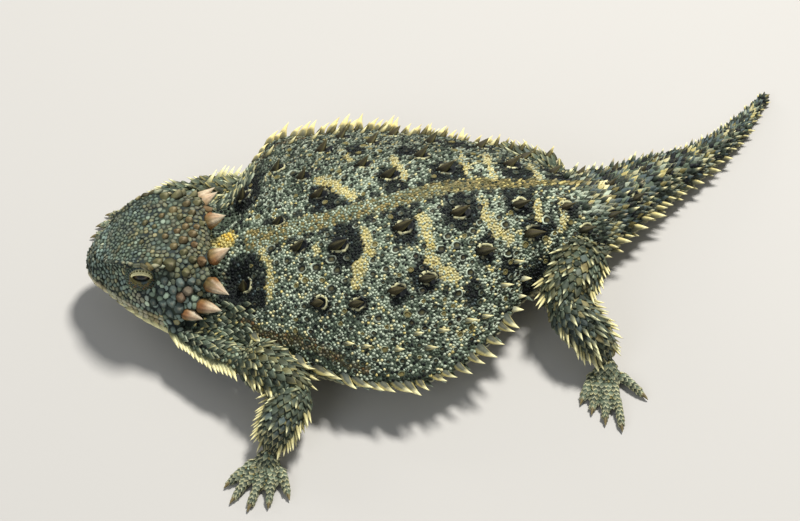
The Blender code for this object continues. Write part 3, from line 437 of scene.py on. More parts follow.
# Every surface that scales follow: its rings, and the place of each point along and around it.
patches = {}


def add_patch(name, grid, along, around):
    first, second = np.meshgrid(along, around, indexing="ij")
    ring_step = np.gradient(grid, axis=0) / np.gradient(np.asarray(along, float))[:, None, None]
    turn_step = (np.roll(grid, -1, 1) - np.roll(grid, 1, 1)) / (2 * (around[1] - around[0]))
    patches[name] = {"grid": grid, "along": first, "around": second, "by_along": ring_step,
                     "by_around": turn_step}


def add_body_patches():
    s = np.linspace(TRUNK_START, TAIL_END, 240)
    turn = np.arange(0, 360, 3.6)
    add_patch("trunk", trunk_point(s[:, None], turn[None]), s, turn)
    u = np.concatenate([[0.15, 0.6], np.linspace(1.1, 18.4, 56), [19.1, 19.8, 20.2]])
    sides = 80
    grid = []
    for place in u:
        section = head_section(place, sides)
        grid.append(head_place(place, section[:, 0], section[:, 1]))
    add_patch("head", np.array(grid), u, np.arange(sides) * 360 / sides)


def add_leg_patches(label, spec):
    """A leg's upper and lower parts, palm or sole, and digits, and where its claws go."""
    fore = label.startswith("fore")
    root, bend, end = (np.array(p, float) for p in spec["joints"])
    first, second, third, last = FORE_RADII if fore else HIND_RADII
    drop = unit(end - bend)
    for part, points, radii, rings in (("upper", [root, (root + bend) / 2 + np.array([0, 0, 0.5]), bend
                                                  + unit(bend - root) * second * 0.55],
                                        [first, (first + second) / 2 + 0.25, second], 34),
                                       ("lower", [bend - drop * 0.4 * third, (bend + end) / 2
                                                  + np.array([0, 0, 0.4]), end + drop * 0.4],
                                        [third * 0.95, third, last], 30)):
        add_patch(f"{label}_{part}", *tube_rings(points, radii, radii, rings, 36))
    turn = math.radians(spec["heading"])
    ahead = np.array([math.cos(turn), math.sin(turn), 0])
    knuckles = end + ahead * PALM_LENGTH
    knuckles[2] = 0.85
    middle = (end + knuckles) / 2
    middle[2] = 1.4
    half, radius = PALM_HALF_WIDTH, DIGIT_RADIUS
    add_patch(f"{label}_palm", *tube_rings([end, middle, knuckles], [half * 0.85, half, half * 0.9],
                                           [2.0, PALM_HALF_HEIGHT, 1.15], 18, 28))
    mirror = -SIDES[label.split("_")[1]]
    side = np.array([-ahead[1], ahead[0], 0])
    spec["claws"] = []
    for i, (angle, length) in enumerate(FORE_DIGITS if fore else HIND_DIGITS):
        fan = mirror * spec["spread"] * math.radians(angle)
        way = np.array([math.cos(turn + fan), math.sin(turn + fan), 0])
        base = knuckles - ahead * 1.6 + side * (mirror * (i - 2) / 2 * half * 0.95)
        base[2] = 0.8
        knee, tip = base + way * length * 0.6, base + way * (length + 0.9)
        knee[2], tip[2] = 1.0, 0.55
        add_patch(f"{label}_digit{i}", *tube_rings([base, knee, tip], [radius * 1.05, radius, radius * 0.75],
                                                   [radius * 1.05, radius, radius * 0.8], 22, 18))
        spec["claws"].append((tip, way))


def brow_line(side):
    """Points along the brow, from the snout to behind the eye."""
    return [head_place(u, side * v, z) for u, v, z in BROW_LINE]


def horn_ends(label, side):
    back, out = HORN_SHIFT.get(f"{label}_{'left' if side < 0 else 'right'}", (0, 0))
    return tuple(head_place(p[0] + back, side * (p[1] + out), p[2]) for p in HORNS[label][:2])


def ear_place(side):
    return head_place(EAR_U, side * (head_half_width(EAR_U, EAR_Z) + 0.1), EAR_Z)


def facing_out(points, triangles, centre, count=None):
    """The triangles, turned round where their first ones face the centre."""
    a, b, c = (points[triangles[:, k]] for k in range(3))
    out = (np.cross(b - a, c - a) * ((a + b + c) / 3 - centre)).sum(1)[:count].sum()
    return triangles[:, ::-1] if out < 0 else triangles


def closed_rings(grid, vertices, faces):
    """Adds a closed surface through rings, with a fan on each end."""
    start = len(vertices)
    rings, sides = grid.shape[:2]
    vertices.extend(grid.reshape(-1, 3))
    for i in range(rings - 1):
        for j in range(sides):
            a, b = start + i * sides + j, start + i * sides + (j + 1) % sides
            faces.append((a, b, b + sides, a + sides))
    for i, ring in ((0, grid[0]), (rings - 1, grid[-1])):
        hub = len(vertices)
        vertices.append(ring.mean(0))
        for j in range(sides):
            a, b = start + i * sides + j, start + i * sides + (j + 1) % sides
            faces.append((a, b, hub) if i else (b, a, hub))


def bincount_rows(index, values, size):
    return np.stack([np.bincount(index, values[:, k], size) for k in range(3)], -1)


def smoothed(points, edges, rounds):
    """Rounds off small dents and creases and keeps the volume."""
    count = np.maximum(np.bincount(edges.ravel(), minlength=len(points)), 1)[:, None]
    for _ in range(rounds):
        for weight in (0.6, -0.62):
            total = (bincount_rows(edges[:, 0], points[edges[:, 1]], len(points))
                     + bincount_rows(edges[:, 1], points[edges[:, 0]], len(points)))
            points = points + weight * (total / count - points)
    return points


def vertex_normals(points, triangles):
    a, b, c = (points[triangles[:, k]] for k in range(3))
    flat = np.cross(b - a, c - a)
    return unit(sum(bincount_rows(triangles[:, k], flat, len(points)) for k in range(3)))


def remeshed():
    """The bare body as one closed mesh: its points, quads as triangles, and edges."""
    vertices, faces = [], []
    for patch in patches.values():
        closed_rings(patch["grid"], vertices, faces)
    for side in SIDES.values():
        lowered = [p - np.array([0, side * 0.3, 0.5]) for p in brow_line(side)]
        closed_rings(tube_rings(lowered, [0.4, 0.8, 1.3, 1.5, 1.2], [0.2, 0.35, 0.65, 0.8, 0.7], 26, 14)[0],
                     vertices, faces)
        for label, (_, _, width, thickness) in HORNS.items():
            start, end = horn_ends(label, side)
            ahead = unit(end - start)
            boss = [start - ahead * 3.0, start - ahead * 1.4, start + ahead * 0.1]
            closed_rings(tube_rings(boss, [width * f for f in (0.80, 0.72, 0.56)],
                                    [thickness * f for f in (0.80, 0.72, 0.56)], 14, 16)[0], vertices, faces)
        fold = FOLDS[side]
        closed_rings(tube_rings(fold, [1.5, 1.6, 1.9, 2.0, 2.0][:len(fold)],
                                [1.3, 1.4, 1.7, 1.8, 2.2][:len(fold)], 28, 18)[0], vertices, faces)
        eye = head_place(EYE_U, side * EYE_V, EYE_Z)
        polar = np.linspace(0.08, np.pi - 0.08, 20)
        angle = turns(28)
        globe = np.stack([np.sin(polar)[:, None] * np.cos(angle), np.sin(polar)[:, None] * np.sin(angle),
                          np.repeat(-np.cos(polar)[:, None], 28, 1)], -1)
        closed_rings(eye + (LID_RADIUS - 0.15) * globe, vertices, faces)
    mesh = bpy.data.meshes.new("bare")
    mesh.from_pydata([tuple(p) for p in vertices], [], faces)
    obj = bpy.data.objects.new("bare", mesh)
    bpy.context.scene.collection.objects.link(obj)
    step = obj.modifiers.new("remesh", "REMESH")
    step.mode = "VOXEL"
    step.voxel_size = VOXEL
    made = bpy.data.meshes.new_from_object(obj.evaluated_get(bpy.context.evaluated_depsgraph_get()))
    bpy.data.objects.remove(obj)
    bpy.data.meshes.remove(mesh)
    made.calc_loop_triangles()
    read = []
    for items, key, width, kind in ((made.vertices, "co", 3, float),
                                    (made.loop_triangles, "vertices", 3, np.int32),
                                    (made.edges, "vertices", 2, np.int32)):
        values = np.empty(len(items) * width, kind)
        items.foreach_get(key, values)
        read.append(values.reshape(-1, width))
    bpy.data.meshes.remove(made)
    return read


def eye_frame(side):
    """The eye's middle, where it looks, the slit's direction towards the rear, and up across the slit."""
    centre = head_place(EYE_U, side * EYE_V, EYE_Z)
    look = head_direction(0.08, side * 0.86, 0.50)
    along = head_direction(1, side * 0.10, -0.04)
    along = unit(along - look * (along @ look))
    up = np.cross(look, along)
    return centre, look, along, up if up[2] > 0 else -up


def dent(points, normals, centre, radius, depth):
    """Presses a round hollow into the skin."""
    near = np.linalg.norm(points - centre, axis=1) / radius
    return points - normals * (depth * np.clip(1 - near ** 2, 0, 1) ** 2)[:, None]


def shaped_skin():
    """The skin with its small hollows: eyes, ears, nostrils, mouth and folds."""
    points, triangles, edges = remeshed()
    points = smoothed(points, edges, SMOOTHING)
    normals = vertex_normals(points, triangles)
    uneven = 0.10 * (1 + mottle(points, 2.4, 31)) * (points[:, 0] > -30)
    points = points - normals * (INSET + uneven)[:, None]
    for side in SIDES.values():
        centre, look, _, _ = eye_frame(side)
        away = points - centre
        height = away @ look
        radial = np.linalg.norm(away - height[:, None] * look, axis=1)
        inside = (radial < EYE_BOWL) & (height > 0)
        sunk = -0.75 * np.sqrt(np.maximum(EYE_BOWL ** 2 - radial ** 2, 0))
        points = np.where(inside[:, None], points + (sunk - height)[:, None] * look, points)
        points = dent(points, normals, ear_place(side), 1.35, 0.9)
        points = dent(points, normals, nostril_place(side), 0.75, 0.7)
    for x, y, z, radius, depth in HOLLOWS:
        points = dent(points, normals, np.array([x, y, z]), radius, depth)
    u, v = head_uv(points)
    groove = np.clip(1 - ((points[:, 2] - MOUTH_Z) / 0.45) ** 2, 0, 1)
    groove = groove * np.clip((MOUTH_CORNER_U - u) / 0.6, 0, 1)
    on_head = (u > -1) & (np.abs(v) < 13)
    points = points - normals * (0.4 * groove * on_head)[:, None]
    points[:, 2] = np.maximum(points[:, 2], SKIN_FLOOR)
    return points, triangles


def nostril_place(side):
    return head_place(1.7, side * 1.9, float(head_sizes[2](1.7)) + 0.15)


class Surface:
    """The skin with what is needed to place things on it."""

    def __init__(self, points, triangles):
        self.points, self.triangles = points, triangles
        self.normals = vertex_normals(points, triangles)
        self.tree = BVHTree.FromPolygons([tuple(p) for p in points], [tuple(t) for t in triangles.tolist()])
        self.names = list(patches)
        self.samples = {key: np.concatenate([p[key].reshape(-1, *p[key].shape[2:]) for p in patches.values()])
                        for key in ("grid", "along", "around", "by_along", "by_around")}
        self.kind = np.concatenate([np.full(p["along"].size, i) for i, p in enumerate(patches.values())])
        self.finder = finder_of(self.samples["grid"])
        self.middles = points[triangles].mean(1)
        self.at = self.lookup(self.middles)

    def nearest(self, places):
        """The nearest points on the skin and the smooth normals there."""
        found, facing = np.empty((len(places), 3)), np.empty((len(places), 3))
        for i, place in enumerate(places):
            spot, _, index, _ = self.tree.find_nearest(Vector(place))
            found[i] = spot
            facing[i] = self.normals[self.triangles[index]].mean(0)
        return found, unit(facing)

    def lookup(self, places):
        """The patch of each place, how far along and around it is, and the lie there."""
        index = np.array([self.finder.find(Vector(p))[1] for p in places])
        cat = self.samples
        away = places - cat["grid"][index]
        out = []
        for key, step in (("along", "by_along"), ("around", "by_around")):
            rate = cat[step][index]
            move = (away * rate).sum(1) / np.maximum((rate ** 2).sum(1), 1e-9)
            limit = {"along": 1.0, "around": 6.0}[key]
            out.append(cat[key][index] + np.clip(move, -limit, limit))
        return self.kind[index], out[0], out[1], unit(cat["by_along"][index])

    def kind_of(self, name):
        return self.names.index(name)


def scatter(space, taken, relax=2):
    """Places spread evenly over the skin: random ones thinned to the spacing, then evened out.

    space is the spacing on each triangle, and 0 where none go. taken is (middle, radius) pairs."""
    a, b, c = (surface.points[surface.triangles[:, k]] for k in range(3))
    area = np.linalg.norm(np.cross(b - a, c - a), axis=1) / 2
    use = np.nonzero(space > 0)[0]
    space = space[use]
    source = np.repeat(np.arange(len(use)), rng.poisson(7.5 * area[use] / (0.866 * space ** 2)))
    corners = surface.triangles[use[source]]
    r1, r2 = np.sqrt(rng.random(len(corners))), rng.random(len(corners))
    w = np.stack([1 - r1, r1 * (1 - r2), r1 * r2], -1)
    places = np.einsum("nk,nkd->nd", w, surface.points[corners])
    facing = unit(np.einsum("nk,nkd->nd", w, surface.normals[corners]))
    space = space[source]
    free = np.ones(len(places), bool)
    finder = finder_of(places)
    for centre, radius in taken:
        for _, i, _ in finder.find_range(Vector(centre), radius):
            free[i] = False
    alive = free.copy()
    chosen = []
    for i in rng.permutation(len(places)):
        if alive[i]:
            chosen.append(i)
            for _, j, _ in finder.find_range(Vector(places[i]), space[i] * 0.86):
                alive[j] = False
    chosen = np.array(chosen, int)
    for _ in range(relax):
        near = finder_of(places[chosen])
        owner = np.array([near.find(Vector(p))[1] for p in places])
        weight = np.bincount(owner, free.astype(float), len(chosen))
        centre = bincount_rows(owner, places * free[:, None], len(chosen)) / np.maximum(weight, 1)[:, None]
        moved = np.array([finder.find(Vector(p))[1] if w > 0 else i for p, w, i
                          in zip(centre, weight, chosen)])
        chosen = np.unique(np.where(free[moved], moved, chosen))
    return places[chosen], facing[chosen], space[chosen]


def cell_radii(places, normals, lie, space, sides, others):
    """How far each scale reaches along each direction before it meets its neighbours."""
    all_places, sizes = np.concatenate([places, others[0]]), np.concatenate([space, others[1]])
    finder = finder_of(all_places)
    index = np.array([[hit[1] for hit in finder.find_n(Vector(p), NEIGHBOURS)] for p in places])[:, 1:]
    away = all_places[index] - places[:, None]
    height = (away * normals[:, None]).sum(-1)
    flat = away - height[..., None] * normals[:, None]
    side = np.cross(normals, lie)
    angle = turns(sides)
    way = lie[:, None] * np.cos(angle)[None, :, None] + side[:, None] * np.sin(angle)[None, :, None]
    across = np.einsum("nmd,nkd->nkm", flat, way)
    distance = np.linalg.norm(flat, axis=-1)
    own = (space[:, None] / (space[:, None] + sizes[index]))
    bound = np.where(across > 1e-6, own[:, None] * distance[:, None] ** 2 / np.maximum(across, 1e-6), 9)
    bound = np.where((np.abs(height) < 0.9 * space[:, None])[:, None] & (distance > 1e-4)[:, None], bound, 9)
    return np.minimum(bound.min(-1), 0.66 * space[:, None])


def kite(length, width, sides, point=1.35, power=1.5):
    """Radii of a scale that is pointed towards the tail."""
    angle = turns(sides)
    ahead = np.where(np.cos(angle) > 0, point, 1.0)
    a = np.asarray(length)[:, None] / 2 * ahead
    b = np.asarray(width)[:, None] / 2
    return 1 / ((np.abs(np.cos(angle)) / a) ** power + (np.abs(np.sin(angle)) / b) ** power) ** (1 / power)


# Rings of a scale as (share of the radius, rise, light). A light below 1 darkens that ring as painted shade,
# most at the foot where the grooves are.
FINE_RINGS = ((1.0, 0.0, 0.30), (0.86, 0.55, 0.9), (0.48, 0.92, 1.0))
SMALL_RINGS = ((1.0, 0.0, 0.35), (0.72, 0.72, 0.95))
GRAIN_RINGS = ((1.0, 0.0, 0.22), (0.74, 0.80, 0.85))
CUP_RINGS = ((1.0, 0.05, 0.7), (0.93, 0.70, 1.0), (0.76, 0.80, 1.0), (0.60, 0.25, 0.5))
LIMB_RINGS = ((1.0, 0.0, 0.65), (0.90, 0.42, 0.95), (0.66, 0.80, 1.0), (0.36, 1.0, 1.0))
PLATE_RINGS = ((1.0, 0.0, 0.22), (0.90, 0.66, 0.75), (0.64, 0.95, 1.0))
CONE_RINGS = ((1.0, 0.0, 0.25), (0.82, 0.38, 0.8), (0.42, 0.80, 1.0))


class Coat:
    """Gathers closed shells by piece, and makes their meshes."""

    def __init__(self):
        self.pieces = {}

    def add(self, piece, points, faces, colours, roots):
        """points and colours (n, m, 3) of n shells with the same faces, and roots (n, 2) on the unwrap."""
        self.pieces.setdefault(piece, []).append((points, faces, colours, roots))

    def build(self):
        made = []
        for name, groups in self.pieces.items():
            points, triangles, colours, uvs, start = [], [], [], [], 0
            for shell, faces, colour, root in groups:
                n, m = shell.shape[:2]
                points.append(shell.reshape(-1, 3))
                colours.append(colour.reshape(-1, 3))
                triangles.append((faces[None] + start + m * np.arange(n)[:, None, None]).reshape(-1, 3))
                middle = shell.mean(1, keepdims=True)
                away = shell - middle
                reach = np.abs(away[..., :2]).max((1, 2))[:, None, None]
                uvs.append((root[:, None] + 0.0015 * away[..., :2] / np.maximum(reach, 1e-6)).reshape(-1, 2))
                start += n * m
            material = materials["horn" if name.startswith("claws") or name.startswith("horn") else "scale"]
            made.append(mesh_piece(name, np.concatenate(points), np.concatenate(triangles),
                                   np.concatenate(colours), material, np.concatenate(uvs)))
        return made


def mesh_piece(name, points, triangles, colours, material, uvs=None):
    """One object of the scene from arrays, moved from the plan to the frame and scaled to metres."""
    mesh = bpy.data.meshes.new(name)
    place = (points - np.array([PLACE[0], PLACE[1], 0])) * MM
    mesh.vertices.add(len(place))
    mesh.vertices.foreach_set("co", place.astype(np.float32).ravel())
    mesh.loops.add(triangles.size)
    mesh.loops.foreach_set("vertex_index", triangles.astype(np.int32).ravel())
    mesh.polygons.add(len(triangles))
    mesh.polygons.foreach_set("loop_start", np.arange(0, triangles.size, 3, dtype=np.int32))
    mesh.update(calc_edges=True)
    paint = mesh.color_attributes.new("Col", "FLOAT_COLOR", "POINT")
    paint.data.foreach_set("color", np.concatenate([colours, np.ones((len(colours), 1))],
                                                   1).astype(np.float32).ravel())
    if uvs is not None:
        layer = mesh.uv_layers.new(name="OFBake")
        layer.data.foreach_set("uv", uvs[triangles.ravel()].astype(np.float32).ravel())
    mesh.materials.append(material)
    mesh.shade_smooth()
    mesh.validate()
    obj = bpy.data.objects.new(name, mesh)
    bpy.context.scene.collection.objects.link(obj)
    return obj


def shell_faces(rings, sides):
    """The triangles of a shell of rings under an apex, closed below."""
    faces = []
    for i in range(rings - 1):
        for j in range(sides):
            k = (j + 1) % sides
            a, b, c, d = i * sides + j, i * sides + k, (i + 1) * sides + k, (i + 1) * sides + j
            faces += [(a, b, c), (a, c, d)]
    top = rings * sides
    faces += [((rings - 1) * sides + j, (rings - 1) * sides + (j + 1) % sides, top) for j in range(sides)]
    faces += [(0, j + 1, j) for j in range(1, sides - 1)]
    return np.array(faces)


def scale_shells(places, normals, lie, radii, height, keel, tilt, shift, sink, rings):
    """The points of low domes or keeled cones with these outlines."""
    n, sides = radii.shape
    angle = turns(sides)
    side = np.cross(normals, lie)
    mean = radii.mean(1)[:, None]
    layers = []
    height, keel, tilt, shift, sink = (np.broadcast_to(np.asarray(x, float), n)[:, None] for x
                                       in (height, keel, tilt, shift, sink))
    ridge = 1 - keel * (1 - np.abs(np.cos(angle)) ** 4)[None]
    for share, rise, _ in rings:
        x = radii * share * np.cos(angle) + shift * (1 - share) * mean
        y = radii * share * np.sin(angle)
        z = height * rise * (ridge if share < 1 else 1) + tilt * x - (sink if share == 1 else 0)
        layers.append(places[:, None] + lie[:, None] * x[..., None] + side[:, None] * y[..., None]
                      + normals[:, None] * z[..., None])
    x, z = shift * mean, height + tilt * shift * mean
    layers.append(places[:, None] + lie[:, None] * x[..., None] + normals[:, None] * z[..., None])
    return np.concatenate(layers, 1)


def scale_colours(body, edge, edge_share, sides, rings, top=None):
    """Painted shade in the grooves at each scale's foot, and towards the tail as pale at the rim as
    edge_share says.
    """
    n = len(body)
    angle = turns(sides)
    rear = np.clip(np.cos(angle), 0, 1)[None, :, None] ** 0.6
    layers = []
    for k, (_, _, light) in enumerate(rings):
        reach = 1.0 if k == 1 else 0.6 if k == 0 else 0.12 if len(rings) > 3 else 0.35
        rim = np.asarray(edge_share)[:, None, None] * rear * reach
        colour = body[:, None] * (1 - rim) + edge[:, None] * rim
        # Each ring is darkened by its light share as painted shade, and the foot ring also gets the groove
        # colour as painted shade in the grooves.
        shade = light if k else light + (1 - light) * rim * 0.7
        layers.append(colour * shade + T.groove * (1 - light) * 0.5 * (k == 0))
    layers.append((body if top is None else top)[:, None] * np.ones((n, 1, 1)))
    return np.concatenate(layers, 1)


def add_cups(piece, places, normals, lie, radius, height, rim, inner, top):
    """Adds scales with a raised rim round a dark hollow with a point in it. The rim is pale, most on the side
    towards the head as a painted highlight, so it is open towards the other side; its foot and the hollow are
    darkened as painted shade.
    """
    n, sides = len(places), 12
    if not n:
        return
    rim, inner, top = (np.broadcast_to(x, (n, 3)) for x in (rim, inner, top))
    angle = turns(sides)
    lie = flat_on(normals, lie)
    radii = radius[:, None] * (1 + 0.10 * np.cos(2 * angle) + rng.uniform(-0.13, 0.13, (n, sides)))
    points = scale_shells(places, normals, lie, radii, height, 0.0, 0.10, 0.25, 0.12, CUP_RINGS)
    # The pale arc is a painted highlight: it faces the head, give or take.
    phase = rng.normal(np.pi, 0.9, (n, 1))
    pale = 0.5 + 0.5 * np.cos(angle - phase) + rng.uniform(-0.45, 0.45, (n, sides))
    pale = soft(pale, 0.2, 0.8)[..., None] * rng.uniform(0.55, 1.0, (n, 1, 1))
    lip = inner[:, None] * (1 - pale) + rim[:, None] * pale
    # The rim's foot at 0.6 and the hollow at 0.7 are painted shade.
    layers = [lip * 0.6, lip, lip, np.repeat(inner[:, None], sides, 1) * 0.7, top[:, None]]
    coat.add(piece, points, shell_faces(len(CUP_RINGS), sides), np.concatenate(layers, 1), unwrapped(places))


def mottle(places, size, offset=0.0):
    """Smooth noise from about -1 to 1 with features of about the size given."""
    return np.array([noise.noise(Vector(p) / size + Vector((offset, 0, 0))) for p in places]) * 1.6


def line_distance(s, q, width, line):
    """How far places on the trunk are from a line of (s, q), in mm."""
    best = np.full(len(s), 99.0)
    for (s0, q0), (s1, q1) in zip(line, line[1:]):
        ax, ay = (s - s0), (q - q0) * width
        dx, dy = (s1 - s0), (q1 - q0) * width
        t = np.clip((ax * dx + ay * dy) / (dx * dx + dy * dy), 0, 1)
        best = np.minimum(best, np.hypot(ax - t * dx, ay - t * dy))
    return best


def soft(x, low, high):
    """A smooth step from 0 at low to 1 at high."""
    t = np.clip((x - low) / (high - low), 0, 1)
    return t * t * (3 - 2 * t)


def mix(a, b, t):
    """A blend of two colours, for one share or a share for each place."""
    t = np.asarray(t)[..., None] if np.ndim(t) else t
    return a * (1 - t) + b * t


def network(places, size, offset=0.0):
    """1 along the lines of an irregular net with meshes of about the size given, and 0 between them."""
    return 1 - soft(np.abs(mottle(places, size, offset)), 0.04, 0.36)


def trunk_marks(places, s, turn):
    """The markings of the trunk and tail at these places, each from 0 to 1. The dark ones also hold painted
    shade in the groin, between the flank's edge and the thigh.
    """
    q = across_share(turn)
    width = 1.12 * half_width(s) + 2
    wobble = mottle(places, 1.6) * 0.5 + mottle(places, 0.7, 5) * 0.4
    dark = np.zeros(len(s))
    for s0, q0, rs, rq in BLOTCHES:
        d = np.hypot((s - s0) / rs, (q - q0) * width / rq) + 0.34 * wobble
        dark = np.maximum(dark, 1 - soft(d, 0.80, 1.08))
    bar = np.zeros(len(s))
    for line, half in BARS:
        d = line_distance(s, q, width, line) + 0.55 * wobble
        bar = np.maximum(bar, 1 - soft(d, half * 0.85, half * 1.1))
    off = np.abs(q - stripe_q(s)) * width
    half = stripe_half(s)
    inside = (s < 69) * (s > 8.5)
    stripe = (1 - soft(off + 0.2 * wobble, half * 0.85, half * 1.1)) * inside
    dash = soft(off, half * 0.9, half * 1.05) * (1 - soft(off, half + 0.7, half + 1.0)) * inside
    dash *= (np.sin(s * 2.6 + off * 1.6 + 2.2 * np.sign(q)) > -0.45) * (s > 11)
    streak = (1 - soft(np.abs(np.abs(q) - streak_q(s)) * width + 0.5 * wobble, 0.6, 1.6)) * (s > 8) * (s < 25)
    nape = np.hypot((s - 5.3) / 1.9, (q + 0.04) * width / 1.25) + 0.3 * wobble
    nape = 1 - soft(nape, 0.75, 1.15)
    # Painted shade in the groin, between the flank's edge and the thigh, put in with the dark marks.
    groin_shade = soft(q, 0.60, 0.72) * soft(s, 48.6, 49.8) * (1 - soft(s, 56.5, 58.5)) * (q < 1.6)
    dark = np.maximum(dark, groin_shade)
    neck = 0.3 * (1 - soft(s, 9, 13))
    below = soft(np.abs(q), 1.05 + neck, 1.25 + neck)
    return {"q": q, "dark": dark, "bar": bar, "stripe": stripe, "dash": dash, "streak": streak, "nape": nape,
            "below": below}


def fleck_share(places, s, q):
    """The share of pale granules: most along the lines of a fine net, fewer low down and in front."""
    patchy = soft(mottle(places, 7.0, 3), -0.6, 0.6)
    net = network(places, 1.35, 21)
    low = soft(np.abs(q), 0.62, 0.95)
    front = 1 - soft(s, 9, 18)
    share = (0.14 + 0.16 * patchy) + (0.40 + 0.30 * patchy) * net
    share = share * (1 - 0.45 * low) * (1 - 0.25 * front) * (1 - 0.7 * low * (1 - soft(s, 17, 30)))
    share = share * mix1(0.35, 1.0, soft(s + 6 * (1 - low), 7, 13))
    share = share * mix1(1.35, 0.98, soft(np.abs(q), 0.35, 0.7)) * mix1(1.0, 0.7, soft(s, 50, 57))
    return share * mix1(1.0, 0.36, soft(-q, 0.0, 0.3))


def pick(count, **shares):
    """One of the named tones for each place, by shares that are scaled to add up to 1."""
    rows = np.array([np.broadcast_to(share, count) for share in shares.values()], float)
    edges = np.cumsum(rows / rows.sum(0), 0)
    choice = (rng.random(count)[None] > edges).sum(0).clip(0, len(rows) - 1)
    return np.array([TONE[name] for name in shares])[choice]


def trunk_colours(places, s, turn, ring=0.0):
    """The colour of each granule of the trunk and tail. ring is 1 where a granule rims a dark scale."""
    m = trunk_marks(places, s, turn)
    q, n = m["q"], len(s)
    pale = np.clip(fleck_share(places, s, q) + 0.3 * ring, 0, 0.95)
    rest = 1 - pale
    tail = soft(s, 60, 68)
    colour = pick(n, lichen=pale * 0.78, cream=pale * 0.18, straw=pale * 0.04, sage=0.20 * rest, moss=0.34
                  * rest, dark=0.34 * rest, ink=0.12 * rest)
    drab = pick(n, slate=0.30, dark=0.34, ink=0.20, moss=0.10, olive=0.06)
    net = tail_bands(places, s) * soft(network(places, 1.6, 40), 0.35, 0.75)
    light = pick(n, straw=0.4, cream=0.35, lichen=0.25) * 0.6
    colour = mix(colour, mix(drab, light, np.maximum(net, ring * 0.9)), tail)
    grey = pick(n, sage=0.34, lichen=0.16, tan=0.26, moss=0.18, dark=0.06) * 1.15
    warm = pick(n, straw=0.22, tan=0.34, olive=0.24, dark=0.20) * 0.85
    colour = mix(colour, mix(grey, warm, soft(s, 30, 46)), m["stripe"] * 0.95)
    # dim darkens for the dark blotches and dashes, and also lays the painted shade of the groin and of the
    # neck hollows that the dark marks hold.
    dim = np.clip(m["dark"] + m["dash"] * 0.9, 0, 1) * (1 - m["stripe"])
    colour = mix(colour, pick(n, slate=0.08, dark=0.34, ink=0.58), dim)
    colour = mix(colour, pick(n, amber=0.3, brown=0.3, olive=0.4), m["streak"] * 0.7)
    colour = mix(colour, pick(n, cream=0.60, lichen=0.24, straw=0.10, tan=0.06) * 0.9, m["bar"])
    colour = mix(colour, pick(n, yellow=0.5, straw=0.5) * 1.15, m["nape"])
    spots = soft(mottle(places, 3.2, 9), 0.35, 0.6)
    colour = mix(colour, mix(T.belly, T.moss, spots * 0.75), m["below"])
    # The far side is darker, partly for its darker pattern and partly as painted shade.
    far = soft(-q, 0.05, 0.4) * mix1(0.8, 1.0, soft(s, 30, 45))
    return colour * mix1(1.0, 0.38, far * (1 - m["below"]) * (1 - tail))[:, None]


def tail_bands(places, s):
    """1 where the tail's scales have pale edges, in bands across it."""
    return soft(np.cos(2 * np.pi * (s - 66.0) / 7.5 + 0.5 * mottle(places, 2.5)), -0.1, 0.7)


def mix1(a, b, t):
    """A blend of two numbers for each place."""
    return a * (1 - t) + b * t


def head_colours(places):
    """The colour of each scale on the head."""
    u, v = head_uv(places)
    z = places[:, 2]
    n = len(u)
    crown = soft(z, 13.2, 15.2)
    snout = 1 - soft(u, 3.0, 7.5)
    patch = soft(mottle(places, 2.4, 13), -0.35, 0.35)
    cool = pick(n, moss=0.42, slate=0.26, dark=0.20, sage=0.12)
    colour = mix(cool, pick(n, olive=0.40, moss=0.24, brown=0.24, tan=0.12), patch * 0.85)
    colour = mix(colour, pick(n, slate=0.40, dark=0.35, brown=0.25), snout * 0.7)
    side = pick(n, moss=0.26, slate=0.26, sage=0.22, tan=0.06, steel=0.20)
    colour = mix(colour, side, (1 - crown) * soft(u, 7, 10) * 0.85)
    rear = soft(u, 13.5, 16.5) * crown
    colour = mix(colour, pick(n, olive=0.34, brown=0.34, tan=0.12, dark=0.20), rear * 0.85)
    below_eye = np.exp(-((u - 9.6) ** 2 + (z - 10.2) ** 2) / 1.1) * (np.abs(v) > 5)
    colour = mix(colour, T.orange, below_eye * 0.35)
    calm = mix(T.moss, T.slate, 0.4) * 0.9
    colour = mix(colour, calm, 0.42) * mix1(2.1, 1.05, crown)[:, None]
    throat = 1 - soft(z, 5.2, 6.2)
    return mix(colour, T.belly, throat * 0.9)


def strip_of(name):
    """A patch's strip on the unwrap, as (its number, of how many)."""
    if name in ("trunk", "head"):
        return 0, 1
    if name[-1].isdigit():
        return 3 + int(name[-1]), 8
    return ("upper", "lower", "palm").index(name.split("_")[2]), 8


def unwrapped(places):
    """Each place on an unwrap of the skin: along and around its part, with a leg's parts side by side."""
    kind, along, around, _ = surface.lookup(places)
    strips, count = np.array([strip_of(name) for name in surface.names]).T
    low, high = (np.array([end(p["along"]) for p in patches.values()]) for end in (np.min, np.max))
    x = np.clip((along - low[kind]) / (high - low)[kind], 0, 1)
    x = (strips[kind] + 0.04 + 0.92 * x) / count[kind]
    return np.stack([0.005 + 0.99 * x, 0.005 + 0.99 * (around % 360) / 360], -1)


def add_scales(piece, places, normals, lie, radii, body, edge, edge_share, style, top=None):
    """Adds scales of one style. style is (height, keel, tilt, shift, sink, rings)."""
    n, sides = radii.shape
    if not n:
        return
    *shape, rings = style
    points = scale_shells(places, normals, flat_on(normals, lie), radii, *shape, rings)
    points[..., 2] = np.maximum(points[..., 2], 0)
    body, edge = (np.broadcast_to(x, (n, 3)) for x in (body, edge))
    colours = scale_colours(body, edge, np.broadcast_to(edge_share, n), sides, rings, top)
    coat.add(piece, points, shell_faces(len(rings), sides), colours, unwrapped(places))


SPINE_LEVELS = np.array([0.0, 0.24, 0.48, 0.70, 0.87])


